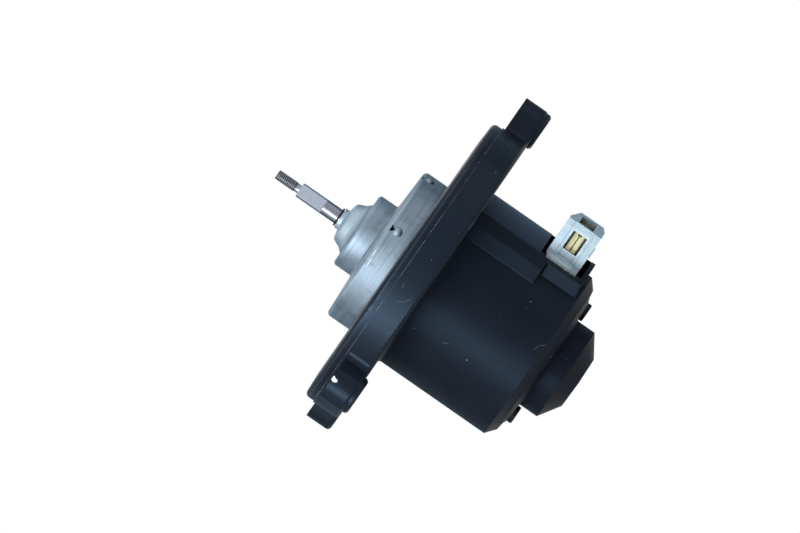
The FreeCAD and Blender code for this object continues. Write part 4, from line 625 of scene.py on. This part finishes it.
def round_edges(piece, name, edge, steps, angle):
    """Rounds a piece's edges that are sharper than an angle, and shades its faces by the large ones."""
    bevel = piece.modifiers.new("edges", "BEVEL")
    bevel.width = edge * MM
    bevel.segments = steps
    bevel.limit_method = "ANGLE"
    bevel.angle_limit = angle
    bevel.use_clamp_overlap = True
    weighted = piece.modifiers.new("shading", "WEIGHTED_NORMAL")
    weighted.keep_sharp = True
    keep_shape(piece, name)
    print(name, len(piece.data.polygons), "faces")


def rounded_copy(node, name, edge, steps):
    """A copy of a solid with its triangles joined and its edges rounded."""
    mesh = nodes[node].data.copy()
    work = bmesh.new()
    work.from_mesh(mesh)
    bmesh.ops.remove_doubles(work, verts=work.verts, dist=MERGE_DISTANCE)
    bmesh.ops.dissolve_limit(work, angle_limit=FLAT_ANGLE, verts=work.verts, edges=work.edges)
    for face in work.faces:
        face.smooth = True
    for line in work.edges:
        line.smooth = not (line.is_manifold and line.calc_face_angle(0) > SHARP_ANGLE)
    work.to_mesh(mesh)
    work.free()
    if "custom_normal" in mesh.attributes:
        mesh.attributes.remove(mesh.attributes["custom_normal"])
    piece = add_piece(name, mesh, finishes[slot_of[node]])
    round_edges(piece, name, edge, steps, SHARP_ANGLE)
    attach(piece, BODY_OF[node])
    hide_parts(node)


for rounded in ROUNDED:
    rounded_copy(*rounded)

# %% [markdown]
# Behind each carbon brush a coil spring pushes it against the commutator. As the brush moves back, its end
# of the spring moves with it and the other end stays in the box, so the coils close up.
# Each spring's copy has its points merged and its faces shaded smooth, and it stands in for the solid,
# which is hidden.


def smooth_mesh(work, name):
    """Turns what is being worked on into a mesh whose faces are shaded smooth."""
    for face in work.faces:
        face.smooth = True
    mesh = bpy.data.meshes.new(name)
    work.to_mesh(mesh)
    work.free()
    return mesh


def closing_spring(side):
    """A smooth-shaded copy of a spring with its points merged, which stands in for the solid."""
    node = f"brush_spring_{side}"
    work = bmesh.new()
    work.from_mesh(nodes[node].data)
    bmesh.ops.remove_doubles(work, verts=work.verts, dist=MERGE_DISTANCE)
    spring = add_piece(f"coil_{side}", smooth_mesh(work, f"coil_{side}"), finishes[slot_of[node]])
    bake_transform(spring)
    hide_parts(node)
    return spring


springs = [closing_spring("left"), closing_spring("right")]
print("springs:", [(spring.name, len(spring.data.polygons)) for spring in springs])

# %% [markdown]
# The solid shaft has a plain cylinder where the thread is. A thread follows a rule: the surface rises and
# falls once for each pitch, and one turn round the shaft moves it by one pitch.
# Geometry Nodes write that rule directly. A plain tube of many rings is made, and each point is moved out to
# the thread's radius at its own angle and height. Both ends fade down to the root, as a cut thread's do.

# %% The thread as a node tree


class Tree(Writer):
    """A geometry node tree with named inputs."""

    def __init__(self, name, **inputs):
        super().__init__(bpy.data.node_groups.new(name, "GeometryNodeTree"))
        self.tree.interface.new_socket("Geometry", in_out="INPUT", socket_type="NodeSocketGeometry")
        self.tree.interface.new_socket("Geometry", in_out="OUTPUT", socket_type="NodeSocketGeometry")
        self.defaults = inputs
        for word, value in inputs.items():
            kind = "NodeSocketInt" if isinstance(value, int) else "NodeSocketFloat"
            if isinstance(value, bpy.types.Material):
                kind = "NodeSocketMaterial"
            self.tree.interface.new_socket(word, in_out="INPUT", socket_type=kind)
        self.start = self.tree.nodes.new("NodeGroupInput")
        self.end = self.tree.nodes.new("NodeGroupOutput")

    def given(self, word):
        """The value of a named input."""
        return self.start.outputs[word]

    def finish(self, geometry, material):
        """Ends the tree: plain geometry with its material on it."""
        whole = self.node("GeometryNodeRealizeInstances", Geometry=geometry)
        dressed = self.node("GeometryNodeSetMaterial", Geometry=whole, Material=material)
        self.plug(self.end.inputs[0], dressed)

    def grow(self, name, material, **sizes):
        """Runs the tree and keeps what it makes as a plain piece."""
        piece = add_piece(name, bpy.data.meshes.new(f"{name}_start"), material)
        modifier = piece.modifiers.new("tree", "NODES")
        modifier.node_group = self.tree
        for socket in self.tree.interface.items_tree:
            if socket.in_out == "INPUT" and socket.name in self.defaults:
                modifier[socket.identifier] = sizes.get(socket.name, self.defaults[socket.name])
        keep_shape(piece, name)
        return piece


def thread_tree():
    """A tube whose points stand at the radius of a thread at their own angle and height."""
    made = Tree("screw_thread", low=0.0, high=0.01, root=0.0017, crest=0.002, pitch=0.0007, rings=200, sides=72,
                finish=thread_steel)
    length = made.math("SUBTRACT", made.given("high"), made.given("low"))
    tube = made.node("GeometryNodeMeshCylinder", settings={"fill_type": "NGON"}, Vertices=made.given("sides"),
                     Side_Segments=made.given("rings"), Radius=1.0, Depth=length)
    across, aside, up = made.apart(made.node("GeometryNodeInputPosition"))
    turns = made.math("DIVIDE", made.math("ARCTAN2", aside, across), 2 * math.pi)
    climb = made.math("DIVIDE", up, made.given("pitch"))
    saw = made.math("PINGPONG", made.math("SUBTRACT", climb, turns), 0.5)
    ridge = made.node("ShaderNodeMapRange", settings={"interpolation_type": "SMOOTHSTEP"}, n0=saw, n1=0.02, n2=0.42)
    from_end = made.math("SUBTRACT", made.times(length, 0.5), made.math("ABSOLUTE", up))
    fade = made.spread(from_end, 0.0, made.given("pitch"))
    depth = made.math("SUBTRACT", made.given("crest"), made.given("root"))
    radius = made.math("ADD", made.given("root"), made.times(ridge, fade, depth))
    middle = made.times(made.math("ADD", made.given("low"), made.given("high")), 0.5)
    spot = made.node("ShaderNodeCombineXYZ", n0=made.times(across, radius), n1=made.times(aside, radius),
                     n2=made.math("ADD", up, middle))
    made.finish(made.node("GeometryNodeSetPosition", Geometry=tube, Position=spot), made.given("finish"))
    return made


thread_maker = thread_tree()
print("tree", thread_maker.tree.name, "has", len(thread_maker.tree.nodes), "nodes")

# %% [markdown]
# The shaft itself is turned from an outline, like the real one on a lathe, and its flat is milled off by
# moving the points that lie outside the flat's plane onto it. Only the stretch outside the can shows,
# but the shaft is one piece, so the whole length is turned, with its thread grown onto its end.

# %% Shaft with its thread
SHAFT_LOW, SHAFT_HIGH = (corner.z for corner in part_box("shaft"))
SHAFT_RADIUS = 3.0 * MM
SHAFT_SIDES = 120
SHAFT_SHARP = math.radians(25)
BEVEL = 0.3 * MM
CUT = 0.02 * MM
THREAD_CREST = 2.0 * MM
THREAD_ROOT = 1.78 * MM
THREAD_PITCH = 0.75 * MM
THREAD_START = SHAFT_HIGH - 8.26 * MM
THREAD_RUN_IN = 0.25 * MM
NECK_START = THREAD_START - 1.88 * MM
NECK_RADIUS = 1.7 * MM
FLAT_START = NECK_START - 11.0 * MM
FLAT_DISTANCE = 1.73 * MM

shaft_outline = [
    (0, SHAFT_LOW), (SHAFT_RADIUS - 2 * BEVEL, SHAFT_LOW), (SHAFT_RADIUS, SHAFT_LOW + 2 * BEVEL),
    (SHAFT_RADIUS, FLAT_START - CUT), (SHAFT_RADIUS, FLAT_START),
    (SHAFT_RADIUS, NECK_START - BEVEL), (SHAFT_RADIUS - BEVEL, NECK_START), (NECK_RADIUS, NECK_START + CUT),
    (NECK_RADIUS, THREAD_START - BEVEL), (THREAD_ROOT, THREAD_START), (THREAD_ROOT, SHAFT_HIGH - BEVEL),
    (0, SHAFT_HIGH - BEVEL),
]


def turned_mesh(name, outline, sides):
    """A closed mesh of revolution about the shaft from (radius, height) points, outwards-facing."""
    work = bmesh.new()
    rings = []
    for radius, height in outline:
        if radius == 0:
            rings.append([work.verts.new((0, 0, height))])
            continue
        rings.append([work.verts.new((radius * math.cos(2 * math.pi * step / sides),
                                      radius * math.sin(2 * math.pi * step / sides), height))
                      for step in range(sides)])
    for lower, upper in zip(rings, rings[1:]):
        for step in range(sides):
            after = (step + 1) % sides
            corners = [lower[step % len(lower)], lower[after % len(lower)],
                       upper[after % len(upper)], upper[step % len(upper)]]
            work.faces.new(list(dict.fromkeys(corners)))
    bmesh.ops.recalc_face_normals(work, faces=work.faces)
    return smooth_mesh(work, name)


def mill_flat(mesh, direction, distance, low, high):
    """Moves the points beyond a plane back onto it, between two heights."""
    way = Vector((math.cos(direction), math.sin(direction), 0))
    for point in mesh.vertices:
        beyond = point.co.dot(way) - distance
        if low <= point.co.z <= high and beyond > 0:
            point.co -= way * beyond


shaft_mesh = turned_mesh("shaft_bar", shaft_outline, SHAFT_SIDES)
mill_flat(shaft_mesh, VIEW_DIRECTION, FLAT_DISTANCE, FLAT_START - CUT / 20, NECK_START + CUT / 2)
shaft_mesh.set_sharp_from_angle(angle=SHAFT_SHARP)
shaft = add_piece("shaft_bar", shaft_mesh, bright_steel)
thread = thread_maker.grow("shaft_thread", thread_steel, low=THREAD_START - THREAD_RUN_IN, high=SHAFT_HIGH,
                           root=THREAD_ROOT, crest=THREAD_CREST, pitch=THREAD_PITCH, rings=230)
for face in thread.data.polygons:
    face.use_smooth = True
for piece in (shaft, thread):
    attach(piece, "rotor")
    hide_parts("shaft")
print("thread has", len(thread.data.polygons), "faces")

# %% [markdown]
# Two small forms of the housing show in the photograph beside the channel. A shoulder slopes down from the
# channel's edge and ends in a steep side, and a low sill closes the pocket's open side in front of the
# connector's foot. Both are prisms: an outline across the channel, drawn out along the shaft and rounded.

# %% Shoulder and sill beside the channel
PRISM_ANGLE = math.radians(10)
PRISM_STEPS = 3
SHOULDER_OUTLINE = [(37.15, -15.0), (33.96, -21.96), (28.0, -22.8), (28.0, -15.0)]
SHOULDER_UP = (-42.2, -11.0)
SHOULDER_EDGE = 0.3
SILL_OUTLINE = [(35.05, -8.6), (36.9, -14.9), (36.3, -17.45), (30.6, -17.55), (30.6, -12.0), (34.6, -8.6)]
SILL_UP = (-57.6, -42.7)
SILL_EDGE = 0.2


def channel_prism(name, outline, low, high, edge):
    """A bar along the shaft from (along, across) corners in millimetres, with rounded edges."""
    work = bmesh.new()
    near = [work.verts.new(on_channel(along, across, low)) for along, across in outline]
    far = [work.verts.new(on_channel(along, across, high)) for along, across in outline]
    work.faces.new(near)
    work.faces.new(far)
    for row in range(len(outline)):
        after = (row + 1) % len(outline)
        work.faces.new((near[row], near[after], far[after], far[row]))
    bmesh.ops.recalc_face_normals(work, faces=work.faces)
    piece = add_piece(name, smooth_mesh(work, name), black_plastic)
    round_edges(piece, name, edge, PRISM_STEPS, PRISM_ANGLE)
    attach(piece, "stator")


channel_prism("channel_shoulder", SHOULDER_OUTLINE, *SHOULDER_UP, SHOULDER_EDGE)
channel_prism("pocket_sill", SILL_OUTLINE, *SILL_UP, SILL_EDGE)

# %% [markdown]
# Flash and dust sit in the seam between the flange and its ring as tiny pale flecks all the way round.
# They repeat along a circle, so a node tree makes them: points on a circle, of which a seeded random choice
# each gets a small faceted grain of its own size and turn.

# %% Flecks in the seam
FLECK_SMALLEST = (0.5, 0.5, 0.4)
FLECK_LARGEST = (1.6, 1.6, 1.0)
FLECK_TURN = (0.3, 0.3, 6.28)
fleck_finish = make_two_tone("fleck_dust", (0.30, 0.32, 0.34), (0.52, 0.54, 0.55), 0.6)


def fleck_tree():
    """A circle of points, some of which carry a grain of their own size and turn."""
    made = Tree("seam_fleck_ring", radius=62.12 * MM, height=0.03 * MM, places=900, share=0.11, size=0.12 * MM,
                seed=5, finish=fleck_finish)
    seed = made.given("seed")
    circle = made.node("GeometryNodeMeshCircle", Vertices=made.given("places"), Radius=made.given("radius"))
    grain = made.node("GeometryNodeMeshIcoSphere", Radius=made.given("size"), Subdivisions=1)
    chosen = made.node("FunctionNodeRandomValue", 3, {"data_type": "BOOLEAN"}, Probability=made.given("share"),
                       Seed=seed)
    scale = made.node("FunctionNodeRandomValue", 0, {"data_type": "FLOAT_VECTOR"}, n0=FLECK_SMALLEST,
                      n1=FLECK_LARGEST, Seed=seed)
    turn = made.node("FunctionNodeRandomValue", 0, {"data_type": "FLOAT_VECTOR"}, n0=(0.0, 0.0, 0.0),
                     n1=FLECK_TURN, Seed=seed)
    grains = made.node("GeometryNodeInstanceOnPoints", Points=circle, Selection=chosen, Instance=grain,
                       Rotation=turn, Scale=scale)
    lift = made.node("ShaderNodeCombineXYZ", n2=made.given("height"))
    made.finish(made.node("GeometryNodeTransform", Geometry=grains, Translation=lift), made.given("finish"))
    return made


flecks = fleck_tree().grow("seam_flecks", fleck_finish)
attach(flecks, "stator")
print("flecks", len(flecks.data.polygons), "faces")

# %% [markdown]
# A clean studio suits a part in a library. The world is white where the camera and reflections look at it,
# and gives a gentle light to everything else. Three soft lamps shape the dark plastic.
# Dark plastic turns white at its edges in so white a room, so three dark cards stand beside the motor
# and behind its end, as a photographer's do, and only reflections see them.
# The floor lies well below the motor, which is held in the air by its flange in a car too. It glows a
# little to the camera alone, so that it stays pale under the motor.

# %% World, lamps and floor
WORLD_LIGHT = 0.42
CARD_RADIUS = 1.3
CARD_HALF_HEIGHT = 0.8
CARD_STEPS = 12
FLOOR_LEVEL = -0.26
FLOOR_SIZE = 4.0
FLOOR_GLOW = 0.62

world = bpy.data.worlds.new("studio")
bpy.context.scene.world = world
world.use_nodes = True
room = Writer(world.node_tree)
background = world.node_tree.nodes["Background"]
background.inputs["Color"].default_value = (1, 1, 1, 1)
path = world.node_tree.nodes.new("ShaderNodeLightPath").outputs
seen = room.math("ADD", path["Is Camera Ray"], path["Is Transmission Ray"])
mirrored = room.math("ADD", seen, path["Is Glossy Ray"])
room.plug(background.inputs["Strength"], room.spread(mirrored, 0.0, 1.0, WORLD_LIGHT, 1.0))


def seen_from(right, up, near):
    """A place given as the photographer would: to the right, up, and towards the camera."""
    return right * image_right + up * image_up + near * towards_camera


def add_lamp(name, place, power, size):
    """A square soft lamp that faces the motor, of a power in watts and a size in metres."""
    lamp = in_scene(name, bpy.data.lights.new(name, "AREA"))
    lamp.data.energy = power
    lamp.data.size = size
    lamp.location = place
    lamp.rotation_euler = (-Vector(place)).to_track_quat("-Z", "Y").to_euler()


def add_card(name, way, wide, start, end):
    """A curved dark card that only reflections see. It bends from the camera's side towards a way, between
    two angles in degrees, and is as high as the wide direction says."""
    spots = []
    for step in range(CARD_STEPS + 1):
        angle = math.radians(start + (end - start) * step / CARD_STEPS)
        middle = CARD_RADIUS * (math.cos(angle) * towards_camera + math.sin(angle) * way)
        spots += [middle - CARD_HALF_HEIGHT * wide, middle + CARD_HALF_HEIGHT * wide]
    faces = [(first, first + 1, first + 3, first + 2) for first in range(0, len(spots) - 2, 2)]
    mesh = bpy.data.meshes.new(name)
    mesh.from_pydata(spots, [], faces)
    card = add_piece(name, mesh, card_finish)
    card.visible_camera = False
    card.visible_diffuse = False
    card.visible_shadow = False


add_lamp("key_softbox", 0.95 * towards_camera - 0.72 * sideways + 0.22 * shaft_way, 13, 0.5)
add_lamp("top_softbox", seen_from(0.1, 1.0, 0.35), 2, 0.8)
add_lamp("front_softbox", seen_from(-0.5, 0.2, 1.2), 1.2, 0.5)

card_finish = make_two_tone("card_paper", (0.22, 0.35, 0.45), (0.26, 0.39, 0.49), 0.9)
add_card("upper_card", sideways, shaft_way, 96, 165)
add_card("lower_card", -sideways, shaft_way, 96, 176)
add_card("end_card", -shaft_way, sideways, 60, 178)

half = FLOOR_SIZE / 2
floor_mesh = bpy.data.meshes.new("floor")
floor_mesh.from_pydata([(-half, -half, FLOOR_LEVEL), (half, -half, FLOOR_LEVEL), (half, half, FLOOR_LEVEL),
                        (-half, half, FLOOR_LEVEL)], [], [(0, 1, 2, 3)])
floor_finish = Finish("floor")
floor_finish.shade(Base_Color=(0.86, 0.87, 0.88), Roughness=0.9)
plain = floor_finish.shader.outputs[0]
glow = floor_finish.node("ShaderNodeEmission", Strength=FLOOR_GLOW)
both = floor_finish.node("ShaderNodeAddShader", n0=plain, n1=glow)
chosen = floor_finish.node("ShaderNodeMixShader", n0=floor_finish.node("ShaderNodeLightPath"), n1=plain, n2=both)
floor_finish.plug(floor_finish.tree.nodes["Material Output"].inputs["Surface"], chosen)
floor = add_piece("floor", floor_mesh, floor_finish.material)
print("three lamps, three cards, and a floor at", FLOOR_LEVEL)
